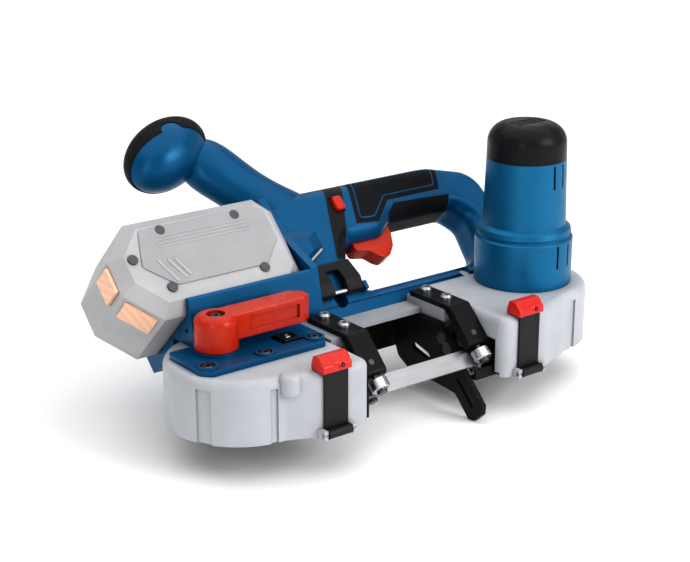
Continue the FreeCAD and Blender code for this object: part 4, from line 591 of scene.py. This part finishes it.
CASE_FACE = 20.0
PLATEAU = [(-149.0, 118.4), (-157.1, 92.6), (-138.6, 75.7), (-69.5, 75.8), (-53.6, 92.6), (-54.4, 115.0),
           (-60.3, 119.4)]
PLATEAU_RISE = 1.0
PLATEAU_ROOT = 0.2
PLATEAU_CORNER = 2.5
PLATEAU_EDGE = 0.7
LONG_RIB_ENDS = (-140.0, -70.0)
LONG_RIB_FIRST = 103.5
LONG_RIB_PITCH = 2.5
LONG_RIB_COUNT = 4
LONG_RIB_WIDTH = 0.9
LONG_RIB_RISE = 0.35
SHORT_RIB_WIDTH = 2.2
SHORT_RIB_RISE = 0.6
RIB_ROOT = 0.1
RIB_EDGE_PARTS = 2.2
RIB_EDGE_MOST = 0.5
SHORT_RIBS = [((-144.7, 94.2), (-137.3, 78.4)), ((-137.7, 93.4), (-130.7, 79.9)),
              ((-132.7, 93.0), (-127.1, 81.3))]


def strip(start, end, width, low, high):
    """A straight rib with rounded ends and a rounded crest."""
    a, b = Vector(start), Vector(end)
    along = (b - a).normalized() * (width / 2)
    across = Vector((-along.y, along.x))
    outline = []
    for centre, sign in ((a, -1.0), (b, 1.0)):
        for k in range(ARC_STEPS + 1):
            angle = math.pi * (k / ARC_STEPS - 0.5)
            outline.append(tuple(centre + sign * (along * math.cos(angle) + across * math.sin(angle))))
    return pad(outline, low, high, min(width / RIB_EDGE_PARTS, RIB_EDGE_MOST))


def battery_face():
    top = CASE_FACE + PLATEAU_RISE
    plateau = pad(rounded(PLATEAU, PLATEAU_CORNER), CASE_FACE - PLATEAU_ROOT, top, PLATEAU_EDGE)
    piece("battery_plateau", *plateau, "battery", "battery_grey", PLATEAU_LOOK)
    ribs = []
    for k in range(LONG_RIB_COUNT):
        start, end = ((x, LONG_RIB_FIRST + k * LONG_RIB_PITCH) for x in LONG_RIB_ENDS)
        ribs.append(strip(start, end, LONG_RIB_WIDTH, top - RIB_ROOT, top + LONG_RIB_RISE))
    for start, end in SHORT_RIBS:
        ribs.append(strip(start, end, SHORT_RIB_WIDTH, top - RIB_ROOT, top + SHORT_RIB_RISE))
    piece("battery_ribs", *joined(*ribs), "battery", "battery_grey")


# Guide rollers: bearing rings with shields

LIP_SHARE = 0.16
ROLLER_STEPS = 40


def roller(name):
    """A ground outer ring, an inner ring and a pressed shield at each side."""
    joint = joints[f"{name}_spin"]
    centre, axis = Vector(joint["pos_m"]), Vector(joint["axis"]).normalized()
    offsets = [(v.co - centre) / MM for v in nodes[name].data.vertices]
    reach = [offset.dot(axis) for offset in offsets]
    radii = [offset.cross(axis).length for offset in offsets]
    low, high, outer, bore = min(reach), max(reach), max(radii), min(radii)
    lip = LIP_SHARE * (outer - bore)
    bevel = lip / 2
    race, hub = outer - 2 * lip, bore + 2 * lip
    profile = [(race, low + lip), (race, low), (outer - bevel, low), (outer, low + bevel),
               (outer, high - bevel), (outer - bevel, high), (race, high), (race, high - lip),
               (hub, high - lip), (hub, high), (bore, high), (bore, low), (hub, low), (hub, low + lip)]
    made = piece(f"{name}_bearing", *turned(profile, centre, axis, ROLLER_STEPS, True), name, SLOT_OF[name])
    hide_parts(name)


grip_line()
grip_dots()
stored_key()
recess_shade_block()
battery_face()
for end in ("idler", "drive"):
    latch_hole_shade(end)
    for spot in ("front", "rear", "back"):
        roller(f"{end}_{spot}_roller")


# Stage, light and camera: the floor in millimetres, the rest in metres and watts

FLOOR_FLAT = 3000.0
FLOOR_SWEEP = 1600.0
FLOOR_WALL = 3600.0
FLOOR_GAP = 0.5
FLOOR_TONES = ((0.93, 0.93, 0.93), (0.95, 0.95, 0.95))
SWEEP_STEPS = 10
WORLD_LIGHT = 0.06
LIGHT_AIM = (-0.12, 0.05, 0.06)
CAMERA_AT = (-0.7411, -0.7535, 0.3984)
CAMERA_AIM = (-0.11955, 0.05262, 0.04989)
LENS = 80.63
SENSOR = 36.0


def floor():
    """A round floor that sweeps up into a wall."""
    turns = [math.pi / 2 * k / SWEEP_STEPS for k in range(SWEEP_STEPS + 1)]
    profile = [(FLOOR_FLAT + FLOOR_SWEEP * math.sin(a), FLOOR_SWEEP * (1.0 - math.cos(a))) for a in turns]
    profile.append((FLOOR_FLAT + FLOOR_SWEEP, FLOOR_WALL))
    level = Vector((0.0, 0.0, cad_low.z - FLOOR_GAP * MM))
    points, faces = turned(profile, level, (0, 0, 1), 96)
    mesh = bpy.data.meshes.new("floor")
    mesh.from_pydata(points, [], faces[:-1])
    mesh.polygons.foreach_set("use_smooth", [True] * len(mesh.polygons))
    obj = bpy.data.objects.new("floor", mesh)
    scene.collection.objects.link(obj)
    s = Shader("pale_floor")
    tone = s.mix(s.ramp(s.noise(3.0, 2.0), 0.0, 1.0), *FLOOR_TONES)
    s.link(tone, s.surface.inputs["Base Color"])
    s.set(Roughness=0.9, Specular_IOR_Level=0.1)
    obj.data.materials.append(s.material)


def aimed(name, data, where, aim):
    """A light or camera that looks from one place at another."""
    obj = bpy.data.objects.new(name, data)
    obj.location = where
    obj.rotation_mode = "QUATERNION"
    obj.rotation_quaternion = (Vector(aim) - Vector(where)).to_track_quat("-Z", "Y")
    scene.collection.objects.link(obj)
    return obj


def area(name, where, aim, power, width, height):
    """A soft rectangular light."""
    light = bpy.data.lights.new(name, "AREA")
    light.energy = power
    light.shape = "RECTANGLE"
    light.size = width
    light.size_y = height
    aimed(name, light, where, aim)


def studio():
    """A wide light overhead, a softer one in front and a narrow one at the left."""
    world = bpy.data.worlds.new("studio")
    world.use_nodes = True
    back = world.node_tree.nodes["Background"]
    back.inputs["Color"].default_value = (1.0, 1.0, 1.0, 1.0)
    back.inputs["Strength"].default_value = WORLD_LIGHT
    scene.world = world
    area("top", (0.0, 0.3, 2.4), (0.0, 0.3, 0.0), 100.0, 4.6, 4.6)
    area("front", (0.5, -1.4, 0.8), LIGHT_AIM, 18.0, 0.9, 0.9)
    area("strip", (-1.3, -0.85, 0.45), LIGHT_AIM, 3.0, 0.2, 0.9)
    scene.view_settings.view_transform = "Standard"
    scene.view_settings.look = "Medium High Contrast"


def camera():
    data = bpy.data.cameras.new("camera")
    data.sensor_fit = "HORIZONTAL"
    data.sensor_width = SENSOR
    data.lens = LENS
    data.clip_start = 0.01
    data.clip_end = 100.0
    scene.camera = aimed("camera", data, CAMERA_AT, CAMERA_AIM)


floor()
studio()
camera()
